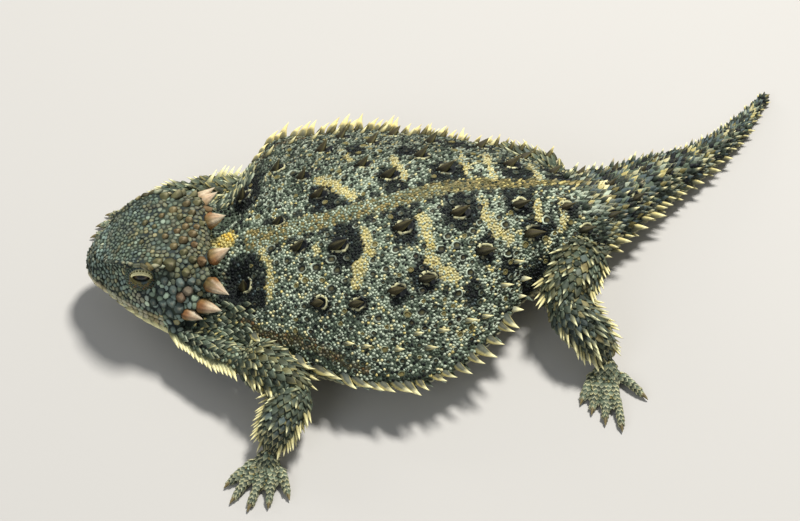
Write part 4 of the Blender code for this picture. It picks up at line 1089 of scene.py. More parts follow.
def add_spines(piece, roots, ahead, across, length, width, thickness, curve, base, edge, tip, sink=0.7,
               sides=8, power=1.25, keel=0.25, tip_from=0.45, sweep=0.0, rim_power=3, crest=0.3):
    """Adds curved, keeled spines. Each argument that varies is an array with a row for each spine."""
    roots = np.asarray(roots, float)
    n = len(roots)
    if not n:
        return
    length, width, thickness, curve = (np.broadcast_to(np.asarray(x, float), n)[:, None] for x
                                       in (length, width, thickness, curve))
    base, edge, tip = (np.broadcast_to(x, (n, 3)) for x in (base, edge, tip))
    ahead = unit(ahead)
    across = np.broadcast_to(across, (n, 3))
    across = unit(across - ahead * (ahead * across).sum(-1, keepdims=True))
    up = np.cross(ahead, across)
    up = np.where(up[:, 2:3] >= 0, up, -up)
    angle = turns(sides)
    ridge = 1 + keel * np.clip(np.sin(angle), 0, 1) ** 6
    edges = np.maximum(np.abs(np.cos(angle)) ** rim_power, crest * np.clip(np.sin(angle), 0, 1) ** 8)
    points, colours = [], []
    for share in SPINE_LEVELS:
        reach = length * share if share else -sink * np.ones((n, 1))
        centre = roots + ahead * reach + (up * curve + across * sweep) * share ** 2
        size = 1 - share ** power
        ring = (centre[:, None] + size * (across * width / 2)[:, None] * np.cos(angle)[None, :, None] + size
                * (up * thickness / 2)[:, None] * (np.sin(angle) * ridge)[None, :, None])
        points.append(ring)
        rim = (edges * (0.25 + 0.75 * min(share * 3, 1)))[None, :, None]
        tone = base[:, None] * (1 - rim) + edge[:, None] * rim
        end = float(soft(share, tip_from, tip_from + 0.35))
        # The root ring, inside the skin, is darkened as painted shade where the spine meets the skin.
        colours.append((tone * (1 - end) + tip[:, None] * end) * (0.75 if share == 0 else 1))
    points.append((roots + ahead * length + up * curve + across * sweep)[:, None])
    colours.append(tip[:, None])
    made = np.concatenate(points, 1)
    made[..., 2] = np.maximum(made[..., 2], 0)
    coat.add(piece, made, shell_faces(len(SPINE_LEVELS), sides), np.concatenate(colours, 1), unwrapped(roots))


def trunk_spots(s, q):
    """The skin's places and normals at these places of the trunk."""
    return surface.nearest(trunk_point(s, trunk_turn(q)))


def block(places, radii):
    """Keeps the fine scales off these places."""
    blocked.extend(zip(places, np.broadcast_to(radii, len(places))))


def rosette(middles, normals, lie, radius, count):
    """Pointed scales in a ring round each middle, leaning outwards and up."""
    places, outwards = [], []
    side = np.cross(normals, lie)
    for k in range(len(middles)):
        start = rng.random() * 6.28
        for j in range(count):
            angle = start + 2 * np.pi * (j + rng.uniform(-0.15, 0.15)) / count
            way = lie[k] * np.cos(angle) * 1.12 + side[k] * np.sin(angle) * 0.94
            places.append(middles[k] + way * radius[k])
            outwards.append(way)
    found, facing = surface.nearest(places)
    return found, facing, np.array(outwards)


def dress_back():
    """The big spines of the back in their rings, the slender ones of the flanks, and ringed scales."""
    s, q, size = np.array(BIG_SPINES).T
    roots, normals = trunk_spots(s, q)
    lie = back_at(s)
    lie = flat_on(normals, lie)
    far = soft(-q, 0.0, 0.3)
    n = len(s)
    radius = 1.36 * size
    add_cups("spines_back", roots, normals, lie, radius, 0.34, mix(T.lichen, T.straw, 0.5), T.ink, T.ink)
    ahead = normals * (0.66 + 0.25 * far)[:, None] + lie * 0.8
    centre = roots - lie * 0.6 * size[:, None]
    add_spines("spines_back", centre, ahead, np.cross(normals, lie), 2.5 * size, 1.45 * size, 1.2 * size,
               0.25, mix(T.brown, T.ink, rng.uniform(0.6, 0.95, n)) * 0.6, mix(T.olive, T.dark, 0.35),
               mix(T.olive * 0.6, T.cream, 0.5 * far), sink=0.6, sides=12, keel=0.55, tip_from=0.80,
               rim_power=8, crest=0.5)
    found, facing, out = rosette(roots, normals, lie, radius * 0.8, 9)
    m = len(found)
    radii = kite(np.full(m, 0.62), np.full(m, 0.44), 8, 1.3)
    body = mix(T.dark, T.ink, rng.random(m))
    add_scales("spines_back", found, facing, out, radii, body, T.lichen, rng.uniform(0.0, 1.0, m) ** 2,
               (0.34, 0.3, 0.55, 0.35, 0.12, FINE_RINGS))
    block(roots, radius - 0.1)

    s, q = np.array(FLANK_SPINES).T
    size = rng.uniform(0.85, 1.15, len(s))
    add_trunk_spines("spines_back", s, q, (0.75, 0.9, 0), 1.9 * size, 0.85 * size, 0.75 * size, 0.2, T.slate,
                     T.straw, T.cream, 0.5, tip_from=0.3)

    s, q = np.array(RINGED).T
    roots, normals = trunk_spots(s, q)
    n = len(s)
    size = rng.uniform(0.62, 0.85, n)
    add_cups("spines_back", roots, normals, back_at(s), size, 0.45, T.lichen, mix(T.dark, T.ink, 0.5),
             mix(T.olive, T.dark, 0.5))
    block(roots, size)
    return roots, size


def add_trunk_spines(piece, s, q, lean, length, width, thickness, curve, base, edge, tip, room, **more):
    """Small spines of the trunk that lean outwards, back and aside, with room kept round them."""
    roots, normals = trunk_spots(s, q)
    back = back_at(s)
    ahead = normals * lean[0] + back * lean[1] + across_at(s) * lean[2]
    add_spines(piece, roots, ahead, np.cross(normals, back), length, width, thickness, curve, base, edge, tip,
               sink=0.5, sides=7, **more)
    block(roots, room)


FRINGE_COUNT = 29
FRINGE_LEFT_Q = ((10.0, 0.70), (11.5, 0.75), (15.2, 0.84), (19, 0.96), (22, 1.0), (45, 1.0), (48.5, 1.0),
                 (60, 1.0))


def dress_edges():
    """The fringe of curved blades along both edges of the trunk, and the pale scales up the groin."""
    left_q = through(FRINGE_LEFT_Q)
    for side in SIDES.values():
        near = side < 0
        s = np.linspace(10.2, 60, FRINGE_COUNT) + rng.uniform(-0.4, 0.4, FRINGE_COUNT)
        q = left_q(s) if near else -np.interp(s, (10, 16, 20, 60), (0.92, 0.97, 1.0, 1.0))
        if near:
            keep = (s <= 46.5) | (s >= 54)
            s, q = s[keep], q[keep]
        n = len(s)
        size = np.interp(s, (10, 16, 24, 50, 60), (0.75, 1.0, 1.1, 1.0, 0.8)) * rng.uniform(0.75, 1.2, n)
        outward, back = across_at(s) * side, back_at(s)
        ahead = outward * 0.95 + back * np.interp(s, (10, 30, 60), (0.30, 0.25, 0.30))[:, None]
        ahead += rng.uniform(-0.2, 0.2, (n, 3))
        ahead[:, 2] += 0.16
        turn = trunk_turn(q)
        roots = trunk_point(s, turn) + outward * np.interp(s, (10, 18, 26), (0.3, 0.1, -0.2))[:, None]
        base = mix(T.slate, T.ink, rng.uniform(0.35, 0.8, n))
        if near:
            add_spines("fringe", roots, ahead, back, 3.2 * size, 1.65 * size, 0.85 * size, 0.3, base, T.straw,
                       T.cream, sink=0.7, sides=12, power=1.5, keel=0.4, tip_from=0.5, sweep=1.0, rim_power=4,
                       crest=0.1)
        else:
            add_spines("fringe", roots, ahead, back, 2.5 * size, 1.5 * size, 0.85 * size, 0.3,
                       mix(base, T.olive, 0.2), T.straw, mix(T.cream, T.yellow, 0.35), sink=0.7, sides=12,
                       power=1.0, keel=0.4, tip_from=0.2, sweep=1.0, rim_power=2, crest=0.1)
        block(roots, 0.55)
        # A second, lower row of small blades under the fringe.
        s = s[:-1] + np.diff(s) / 2
        outward, back = across_at(s) * side, back_at(s)
        roots = trunk_point(s, turn[:-1] + side * -7) - outward * 0.1
        add_spines("fringe", roots, outward + back * 0.7, back, 1.5, 0.8, 0.6, 0.1, T.dark, T.sage, T.lichen,
                   sink=0.5, sides=7, tip_from=0.5)
    s = np.concatenate([np.linspace(43, 62, 13), np.linspace(44, 61, 11), np.linspace(24, 42, 9)])
    q = -np.repeat((0.88, 0.74, 0.86), (13, 11, 9))
    s, q = s + rng.uniform(-0.4, 0.4, len(s)), q + rng.uniform(-0.03, 0.03, len(s))
    size = rng.uniform(0.75, 1.2, len(s))
    add_trunk_spines("fringe", s, q, (0.7, 0.8, 0.3), 2.1 * size, 1.15 * size, 0.8 * size, 0.15, T.ink,
                     T.olive, T.straw, 0.55, tip_from=0.55)
    s = np.array([47.4, 48.9, 50.0])
    roots, normals = trunk_spots(s, np.array([1.02, 0.90, 0.74]))
    across = across_at(s)
    add_spines("fringe", roots, normals * 0.6 + back_at(s) * 0.9 - across * 0.2, across,
               np.array([1.9, 1.3, 1.6]), np.array([1.4, 1.0, 1.2]), 0.7, 0.2, T.slate, T.cream, T.cream,
               sink=0.6, tip_from=0.3)
    block(roots, 0.5)
    # Spikes along the fold from the jaw to the shoulder, and on the sides of the neck.
    for side in SIDES.values():
        middle = numbered(FOLDS[side])(np.linspace(0.1, 3.0, 15) + rng.uniform(-0.05, 0.05, 15))
        roots, normals = surface.nearest(middle + unit(np.array([-0.25, side * 0.9, 0.0])) * 2.2)
        add_spines("fringe", roots, np.array([0.55, side * 0.85, 0.0]) + normals * 0.2, (0.6, 0, 0.2),
                   rng.uniform(2.8, 3.6, 15), 1.1, 0.65, 0.1, T.moss, T.straw, T.cream, sink=0.5, sides=7,
                   tip_from=0.3)
        block(roots, 0.4)
        s = np.array([1.6, 2.6, 3.6, 4.6, 5.6, 6.6, 3.0, 5.0, 7.0])
        q = -side * np.array([0.8, 0.82, 0.84, 0.86, 0.86, 0.84, 0.62, 0.6, 0.62])
        add_trunk_spines("fringe", s, q, (0.7, 0.8, 0), 1.5, 0.9, 0.7, 0.15, T.dark, T.moss, T.straw, 0.4)


def dress_neck():
    """Leaf-shaped scales with pale edges over the sides of the neck and its folds."""
    kind, along, around, _ = surface.at
    q = np.abs(across_share(around))
    near = np.full(len(kind), 99.0)
    for fold in FOLDS.values():
        for spot in numbered(fold)(np.linspace(0, len(fold) - 1, 30)):
            near = np.minimum(near, np.linalg.norm(surface.middles - spot, axis=1))
    room = (kind == surface.kind_of("trunk")) & (((along < 9.5) & (q > 0.45) & (q < 1.3)) | (near < 2.8))
    places, normals, _ = scatter(np.where(room, 1.0, 0.0), blocked, 1)
    _, _, turn, lie = surface.lookup(places)
    n = len(places)
    size = rng.uniform(0.8, 1.3, n)
    body = mix(T.dark, T.moss, rng.uniform(0, 0.9, n))
    edge = mix(T.lichen, T.straw, rng.random(n) * 0.7)
    radii = kite(1.7 * size, 1.05 * size, 8, 1.4, 1.3)
    for name, part in (("left", turn > 90), ("right", turn <= 90)):
        add_scales(f"coat_back_front_{name}", *(x[part] for x in (places, normals, lie, radii, body, edge)),
                   rng.uniform(0.2, 1.0, n)[part], (0.32, 0.5, rng.uniform(0.2, 0.5, n)[part], 0.4, 0.14,
                                                    LIMB_RINGS))
    block(places, 0.42)


def dress_tail():
    """Whorls of spines round the tail: long pale ones at the sides, shorter ones on the back."""
    large = [(p, r) for p, r in blocked if r > 0.3 and p[0] > 24]
    for k, s in enumerate(np.arange(WHORL_START, WHORL_END, WHORL_STEP)):
        grow = float(np.interp(s, (62, 72, 110), (1.0, 1.0, 0.30)))
        big = k % 2 == 0
        for turn, long, pale in WHORL:
            if not big and turn not in (38, 142, 2, 178):
                continue
            size = 2.5 * grow * long * (1.0 if big else 0.7) * rng.uniform(0.85, 1.2)
            place = s + rng.uniform(-0.3, 0.3)
            turn = turn + rng.uniform(-5, 5)
            root = trunk_point(place, turn)
            if 20 < turn < 160 and any(np.linalg.norm(root - p) < r + 0.3 for p, r in large):
                continue
            ahead = trunk_normal(place, turn) * 0.75 + back_at(place) * 0.72
            if pale:
                across, dark, edge = UP, mix(T.slate, T.dark, 0.5), T.straw
            else:
                across, dark, edge = across_at(place), mix(T.dark, T.ink, 0.4), T.moss
            tip = T.cream if pale or rng.random() < 0.5 else mix(T.olive, T.bone, 0.5)
            half = float(half_width(place))
            width = min((0.60 if pale else 0.52) * size, 1.1 * half)
            add_spines("spines_tail", root[None], ahead[None], np.array([across]), size, width, width * 0.8,
                       0.12, dark, edge, tip, sink=min(0.6, 0.45 * half), sides=7, tip_from=0.4)
            blocked.append((root, width * 0.42))


def patch_at(patch, share, angle):
    """Places on a patch, from its share of the length and the angle round it."""
    rings, sides = patch["along"].shape
    i = np.interp(share, patch["along"][:, 0], np.arange(rings))
    j = (angle % 360) / 360 * sides
    i0, j0 = np.clip(i.astype(int), 0, rings - 2), j.astype(int) % sides
    fi, fj = (i - i0)[:, None], (j - np.floor(j))[:, None]
    j1 = (j0 + 1) % sides
    grid = patch["grid"]
    return ((1 - fi) * ((1 - fj) * grid[i0, j0] + fj * grid[i0, j1]) + fi
            * ((1 - fj) * grid[i0 + 1, j0] + fj * grid[i0 + 1, j1]))


def limb_rows(name, row_step, column_step):
    """Rows of overlapping scales along a limb, set alternately: places, normals, lie, lengths and widths."""
    patch = patches[name]
    grid = patch["grid"]
    centres = grid.mean(1)
    steps = np.linalg.norm(np.diff(centres, axis=0), axis=1)
    along = np.concatenate([[0], np.cumsum(steps)])
    girth = np.linalg.norm(grid - np.roll(grid, 1, 1), axis=2).sum(1)
    columns = max(6, int(round(np.percentile(girth, 70) / column_step)))
    share, angle, width = [], [], []
    for k, place in enumerate(np.arange(row_step * 0.4, along[-1] - row_step * 0.1, row_step)):
        at = np.interp(place, along, patch["along"][:, 0])
        size = np.interp(place, along, girth) / columns
        if size < 0.3 * column_step:
            continue
        for j in range(columns):
            share.append(at)
            angle.append(360 * (j + 0.5 * (k % 2) + rng.uniform(-0.06, 0.06)) / columns)
            width.append(size)
    share, angle, width = (np.array(x) for x in (share, angle, width))
    places = patch_at(patch, share, angle)
    found, facing = surface.nearest(places)
    own = unit(places - patch_at(patch, share, angle + 180))
    kind, _, _, lie = surface.lookup(found)
    good = ((np.linalg.norm(found - places, axis=1) < 0.75) & ((own * facing).sum(1) > 0.2)
            & (kind == surface.kind_of(name)))
    return found[good], facing[good], lie[good], np.full(good.sum(), row_step), width[good], share[good]


def dress_leg(label):
    """Rows of keeled scales on a leg, finer and banded on the foot, with spikes on its edges."""
    fore = label.startswith("fore")
    piece = f"coat_leg_{label}"
    for part, (row_step, column_step) in LIMB_STEPS.items():
        places, normals, lie, length, width, share = limb_rows(f"{label}_{part}", row_step, column_step)
        n = len(places)
        if not n:
            continue
        palm = part == "palm"
        vary = rng.uniform(0.8, 1.25, n)
        radii = kite(length * 1.40 * vary, width * 0.98 * vary, 8, 1.45, 1.4)
        patch = soft(mottle(places, 3.4, 2), -0.2, 0.5)
        if palm:
            body = mix(T.moss, T.dark, rng.uniform(0.2, 1.0, n))
            edge, rim = mix(T.cream, T.lichen, rng.random(n) * 0.6), np.ones(n)
        elif part == "lower":
            end = soft(share, 0.55, 0.85)
            body = mix(mix(T.moss, T.slate, patch), T.dark, rng.uniform(0.3, 0.95, n))
            body = mix(body, T.dark, end * 0.6)
            edge = mix(mix(T.sage, T.straw, rng.random(n) * 0.6), T.cream, end)
            rim = np.clip(rng.uniform(0.1, 0.9, n) + 0.4 * end, 0, 1)
        else:
            body = mix(mix(T.moss, T.olive, patch * 0.8), T.dark, rng.uniform(0.3, 0.95, n))
            edge = mix(T.sage, T.straw, rng.random(n))
            rim = rng.uniform(0.1, 0.95, n)
        if not fore and not palm:
            body = mix(body, pick(n, steel=0.5, tan=0.5), (rng.random(n) < 0.22) * 0.5)
            rim = rim ** 2
        body = mix(body * rng.uniform(0.6, 1.1, (n, 1)), T.belly, soft(-normals[:, 2], 0.3, 0.7) * 0.85)
        height, lift = (0.22, 0.26) if palm else (0.36, rng.uniform(0.2, 0.5, n))
        add_scales(piece, places, normals, lie, radii, body, edge, rim,
                   (height, 0.55, lift, 0.35, 0.16, LIMB_RINGS))
        block(places, 0.40 * np.minimum(length, width))
    for i in range(5):
        places, normals, lie, length, width, share = limb_rows(f"{label}_digit{i}", *DIGIT_STEPS)
        n = len(places)
        if n:
            radii = kite(length * 1.6, width * 1.12, 8, 1.35, 1.5)
            body = mix(T.moss, T.dark, rng.uniform(0.2, 1.0, n))
            add_scales(piece, places, normals, lie, radii, body, mix(T.cream, T.lichen, rng.random(n) * 0.6),
                       rng.uniform(0.8, 1.0, n), (0.17, 0.2, 0.30, 0.2, 0.1, LIMB_RINGS))
            block(places, 0.26)
    spikes = []
    for part, count in (("upper", 12), ("lower", 13)):
        patch = patches[f"{label}_{part}"]
        for share in np.linspace(0.28, 0.92, count):
            for turn, size, pale in LIMB_SPIKES:
                if turn in (50, 130, 90) and rng.random() < (0.75 if fore else 0.45):
                    continue
                t, angle = np.array([share + rng.uniform(-0.02, 0.02)]), np.array([turn + rng.uniform(-9, 9)])
                size *= rng.uniform(0.8, 1.2)
                place = patch_at(patch, t, angle)[0]
                own = unit(place - patch_at(patch, t, angle + 180)[0])
                way = unit(patch_at(patch, t + 0.03, angle)[0] - patch_at(patch, t - 0.03, angle)[0])
                (found,), (facing,) = surface.nearest([place])
                if np.linalg.norm(found - place) <= 0.6 and facing @ own >= 0.4:
                    spikes.append((found, own * 0.62 + way * 0.85, np.cross(own, way), size, pale))
    roots, ahead, across, size, pale = (np.array(x) for x in zip(*spikes))
    add_spines(f"spines_leg_{label}", roots, ahead, across, (2.3 if fore else 2.5) * size, 1.0 * size, 0.7
               * size, 0.1, mix(T.dark, T.slate, pale), mix(T.moss, T.straw, pale),
               mix(T.sage, T.cream, np.clip(pale + 0.3, 0, 1)), sink=0.5, sides=7, tip_from=0.35)


def dress_head():
    """Cones and plates of the head, lip plates, chin shields and the scales of the brow."""
    u, v, z, radius, height = np.array([row[:5] for row in HEAD_CONES], float).T
    names = [row[5] for row in HEAD_CONES]
    roots, normals = surface.nearest(head_place(u, v, z))
    n = len(u)
    back = head_direction(1, 0, 0.0)
    lie = back + 0.12 * np.sign(v)[:, None] * head_direction(0, 1, 0)
    radii = radius[:, None] * (1.10 + 0.20 * np.cos(turns(10)) + rng.uniform(-0.20, 0.16, (n, 10)))
    low = np.array([name in ("slate", "rust") for name in names])
    body = mix(np.array([TONE[name] for name in names]), np.where(low[:, None], T.steel, T.olive),
               rng.uniform(0.25, 0.7, n))
    light = np.where(low, rng.uniform(0.8, 1.2, n), rng.uniform(0.55, 0.9, n))
    body = mix(body, T.moss, 0.3) * light[:, None]
    add_scales("plates_head", roots, normals, lie, radii * 1.06, body, body * 0.25, 0.8,
               (height * 0.9, 0.5, rng.uniform(0.0, 0.35, n), 0.55, 0.15, CONE_RINGS),
               mix(body, T.bone, 0.22))
    block(roots, radius + 0.03)
    for side in SIDES.values():
        # Lip plates above and below the mouth.
        for z in (MOUTH_Z + 0.62, MOUTH_Z - 0.62):
            roots, normals = surface.nearest([head_place(u, side * (head_half_width(max(u, 0.9), z) - 0.1), z)
                                              for u in np.linspace(0.7, 12.9, LIP_PLATES)])
            m, step = len(roots), np.gradient(roots, axis=0)
            radii = kite(np.linalg.norm(step, axis=1) * 1.02, np.full(m, 0.9), 10, 1.05, 3.0)
            body = mix(T.sage, T.bone, rng.uniform(0.2, 1, m))
            body = mix(body, T.tan, (rng.random(m) < 0.3) * 0.6) * rng.uniform(0.6, 1.0, (m, 1))
            add_scales("plates_head", roots, normals, unit(step), radii, body, T.cream, 0.3,
                       (0.34, 0.1, 0.02, 0.0, 0.15, FINE_RINGS))
            block(roots, 0.42)
            block((roots[:-1] + roots[1:]) / 2, 0.38)
        # Pale shields on the jaw's edge, small in front and pointed behind.
        u = np.linspace(2.0, 16.4, JAW_SHIELDS)
        roots, normals = surface.nearest([head_place(x, side * (float(head_sizes[7](x)) - 0.05),
                                                     float(head_sizes[8](x)) + 0.25) for x in u])
        grow = np.interp(u, (2, 16), (0.55, 1.35))
        add_spines("plates_head", roots, head_direction(0.95, side * 0.62, 0.04) + 0.2 * normals, back, 2.6
                   * grow, 1.15 * np.minimum(grow + 0.2, 1.2), 0.7 * grow, 0.1, T.dark, T.cream, T.cream,
                   sink=0.4, sides=8, power=1.8, tip_from=0.05)
        block(roots, 0.5)
        # Bar of pale scales on the brow's edge over the eye, and keeled scales along the brow.
        t, grow = np.array(BROW_SCALES).T
        t = t + rng.uniform(-0.05, 0.05, 8)
        roots, normals = surface.nearest(numbered(brow_line(side))(t) + head_direction(0, side * 0.5, 0.5)
                                         * 0.8)
        m = len(t)
        way = unit(np.gradient(roots, axis=0)) + rng.normal(0, 0.12, (m, 3))
        radii = kite(1.35 * grow, 0.80 * grow, 10, 1.2, 1.8) * rng.uniform(0.86, 1.12, (m, 10))
        body = mix(T.sage, T.tan, rng.random(m)) * rng.uniform(0.5, 0.85, (m, 1))
        add_scales("plates_head", roots, normals, way, radii, body, body * 0.3, 0.8,
                   (0.40 * grow, 0.4, 0.16, 0.3, 0.15, PLATE_RINGS), mix(body, T.bone, 0.3))
        block(roots, 0.48 * grow)
        centre, look, _, _ = eye_frame(side)
        blocked.extend([(ear_place(side), 1.05), (nostril_place(side), 0.5), (centre, 2.7),
                        (centre + look * 1.5, 2.2)])
        for label, (_, _, width, _) in HORNS.items():
            start, end = horn_ends(label, side)
            blocked.extend((start + unit(end - start) * f, width * 0.46) for f in (-0.2, 0.4, 1.0))


def spacing_map():
    """The spacing of the fine scales on each triangle of the skin."""
    kind, along, around, _ = surface.at
    z, names = surface.middles[:, 2], surface.names
    trunk, head = kind == names.index("trunk"), kind == names.index("head")
    q = np.abs(across_share(around))
    back = BACK_SPACE + 0.08 * soft(q, 0.6, 0.95)
    back = np.where(along < 10, NECK_SPACE, back)
    back = mix1(back, TAIL_SPACE, soft(along, 58, 66))
    back = mix1(back, TAIL_END_SPACE, soft(along, 80, 105))
    under = np.where(along > 70, CHIN_SPACE, BELLY_SPACE)
    u = head_uv(surface.middles)[0]
    crown = 0.58 + 0.22 * soft(u, 8, 15) - 0.06 * (1 - soft(u, 2, 5))
    cheek = CHIN_SPACE + 0.45 * soft(u, 6, 15)
    on_head = mix1(CHIN_SPACE, mix1(cheek, crown, soft(z, 12.6, 14.6)), soft(z, 5.0, 6.4))
    space = np.where(trunk, mix1(back, under, soft(q, 1.02, 1.18)), np.where(head, on_head, LIMB_SPACE))
    space[np.isin(kind, [i for i, n in enumerate(names) if "digit" in n])] = DIGIT_SPACE
    # The mouth line stays open.
    space[head & (np.abs(z - MOUTH_Z) < 0.12) & (u < MOUTH_CORNER_U)] = 0
    return space


def dress_skin(roots, reach):
    """All the fine scales. roots and reach are the ringed scales that pale granules stand round."""
    kind, along, around, _ = surface.at
    q = across_share(around)
    trunk = surface.kind_of("trunk")
    # Middle-sized dark scales among the granules of the back.
    off = np.abs(q - stripe_q(along)) * 1.12 * half_width(along)
    room = (kind == trunk) & (along > 9) & (along < 64) & (np.abs(q) < 0.97)
    room &= off > stripe_half(along) + 0.6
    places, normals, _ = scatter(np.where(room, 1.9, 0.0), [(p, r + 0.55) for p, r in blocked], 1)
    _, s, turn, lie = surface.lookup(places)
    keep = trunk_marks(places, s, turn)["bar"] < 0.3
    places, normals, s, turn, lie = (x[keep] for x in (places, normals, s, turn, lie))
    n = len(places)
    size = rng.uniform(0.34, 0.62, n)
    marks = trunk_marks(places, s, turn)
    body = pick(n, dark=0.5, ink=0.3, olive=0.2)
    rim = pick(n, lichen=0.40, sage=0.35, moss=0.25)
    # Rims are darker in the dark marks, which hold the painted groin shade too, and on the far side, partly
    # for its darker pattern and partly as painted shade.
    rim = mix(rim, T.dark, np.clip(marks["dark"] * 0.7 + 0.4 * soft(-marks["q"], 0, 0.3), 0, 1))
    for name, part in (("left", turn > 90), ("right", turn <= 90)):
        add_cups(f"coat_back_scales_{name}",
                 *(x[part] for x in (places, normals, lie, size, 0.55 * size + 0.08, rim, body,
                                     mix(body, T.olive, 0.4))))
    centres, reach = np.concatenate([places, roots]), np.concatenate([size, reach])
    block(places, size)

    places, normals, space = scatter(spacing_map(), blocked, 2)
    kind, along, around, lie = surface.lookup(places)
    lie = flat_on(normals, lie)
    on_trunk, on_head = kind == trunk, kind == surface.kind_of("head")
    askew = rng.normal(0, 1, len(places)) * np.where(on_head, 0.9, 0.0)
    askew += rng.normal(0, 0.5, len(places)) * (on_trunk & (along < 60))
    lie = lie * np.cos(askew)[:, None] + np.cross(normals, lie) * np.sin(askew)[:, None]
    sides = 7
    others = (np.array([p for p, _ in blocked]), np.array([2 * r for _, r in blocked]))
    radii = cell_radii(places, normals, lie, space, sides, others) * 0.98
    finder = finder_of(centres)
    near = [finder.find(Vector(p)) for p in places]
    ring = 1 - soft(np.array([hit[2] - reach[hit[1]] for hit in near]), 0.30, 0.46)
    q = across_share(around)
    below = np.abs(q) > 1.08
    tail = along > 62

    def take(mask, piece, colours, edge, share, style, grow=1.0, top=None):
        add_scales(piece, places[mask], normals[mask], lie[mask], radii[mask] * grow, colours, edge, share,
                   style, top)

    vary = rng.uniform(0.7, 1.3, len(places))
    radii[on_trunk & ~below & ~tail] *= 0.92 + 0.42 * np.clip(np.cos(turns(sides)), 0, 1) ** 2
    for left, half in ((True, "left"), (False, "right")):
        for front, end in ((True, "front"), (False, "rear")):
            mask = on_trunk & ~below & ~tail & ((q > 0) == left) & ((along < 31) == front)
            colours = trunk_colours(places[mask], along[mask], around[mask], ring[mask])
            light = np.clip(colours.mean(1) / 0.5, 0, 1)
            take(mask, f"coat_back_{end}_{half}", colours * 0.8, colours, 1.0,
                 ((0.12 + 0.14 * light) * space[mask] / 0.5 * vary[mask], 0.45, 0.42, 0.45, 0.14,
                  GRAIN_RINGS))
    mask = on_trunk & below & ~tail
    colours = trunk_colours(places[mask], along[mask], around[mask])
    take(mask, "coat_belly", colours, mix(colours, T.cream, 0.5), 0.4,
         (0.18, 0.15, 0.16, 0.2, 0.14, SMALL_RINGS))
    mask = on_trunk & tail
    colours = trunk_colours(places[mask], along[mask], around[mask])
    n = mask.sum()
    above = ~below[mask]
    radii[mask] = np.where(above[:, None], kite(space[mask] * 1.75, space[mask] * 1.10, sides, 1.4, 1.35),
                           radii[mask])
    band = np.maximum(tail_bands(places[mask], along[mask]), ring[mask])
    take(mask, "coat_tail", np.where(above[:, None], colours * 0.9, colours * 0.7),
         mix(T.lichen, T.straw, rng.random(n) * 0.8), np.where(above, band * rng.uniform(0.5, 1.0, n)
                                                               + (1 - band) * 0.25 * rng.random(n) ** 2, 0.3),
         (0.30, 0.65, rng.uniform(0.25, 0.6, n), 0.45, 0.14, LIMB_RINGS))
    n = on_head.sum()
    colours = head_colours(places[on_head]) * rng.uniform(0.55, 1.25, (n, 1))
    take(on_head, "coat_head", colours, colours * 0.4, rng.uniform(0.1, 0.8, n),
         (0.05 + 0.11 * space[on_head] * vary[on_head] ** 2, 0.35, rng.uniform(0.0, 0.40, n), 0.30, 0.15,
          PLATE_RINGS), 1.07, mix(colours, T.sage, 0.28))
    for label in LEGS:
        mask = np.isin(kind, [i for i, name in enumerate(surface.names) if name.startswith(label)])
        if mask.any():
            colours = mix(pick(mask.sum(), moss=0.4, dark=0.3, olive=0.2, sage=0.1), T.belly, 0.8
                          * soft(-normals[mask][:, 2], 0.2, 0.6))
            take(mask, f"coat_leg_{label}", colours, mix(colours, T.cream, 0.5), 0.5,
                 (0.26, 0.4, 0.15, 0.3, 0.14, SMALL_RINGS))


def paint_skin():
    """The skin's colours: the scales' ones, darker, with painted shade in the groin and in the ear and
    nostril hollows.
    """
    places = surface.points
    kind, along, around, _ = surface.lookup(places)
    marks = trunk_marks(places, along, around)
    colour = mix(mix(T.dark, T.moss, 0.5), T.sage, fleck_share(places, along, marks["q"]) * 0.6)
    for tone, share in ((T.olive, marks["stripe"] * 0.8),
                        # The dark marks hold the painted shade of the groin.
                        (T.ink, np.clip(marks["dark"] + marks["dash"], 0, 1) * 0.9),
                        (T.brown, marks["streak"] * 0.6),
                        (T.straw, np.clip(marks["bar"] + marks["nape"], 0, 1) * 0.8),
                        (T.belly * 0.8, marks["below"] * 0.8)):
        colour = mix(colour, tone, share)
    head = mix(T.moss, T.slate, soft(mottle(places, 2.0), -0.3, 0.3)) * 0.4
    # Painted shade in the ear and nostril hollows.
    for side in SIDES.values():
        for centre, radius in ((ear_place(side), 1.1), (nostril_place(side), 0.55)):
            near = 1 - soft(np.linalg.norm(places - centre, axis=1), radius * 0.6, radius)
            head = mix(head, T.ink, near * 0.9)
    limb = mix(mix(T.moss, T.dark, 0.5), T.belly * 0.8, soft(-surface.normals[:, 2], 0.3, 0.7) * 0.7)
    on_trunk, on_head = (kind == surface.kind_of(name) for name in ("trunk", "head"))
    return np.where(on_head[:, None], head, np.where(on_trunk[:, None], colour, limb)) * 0.75


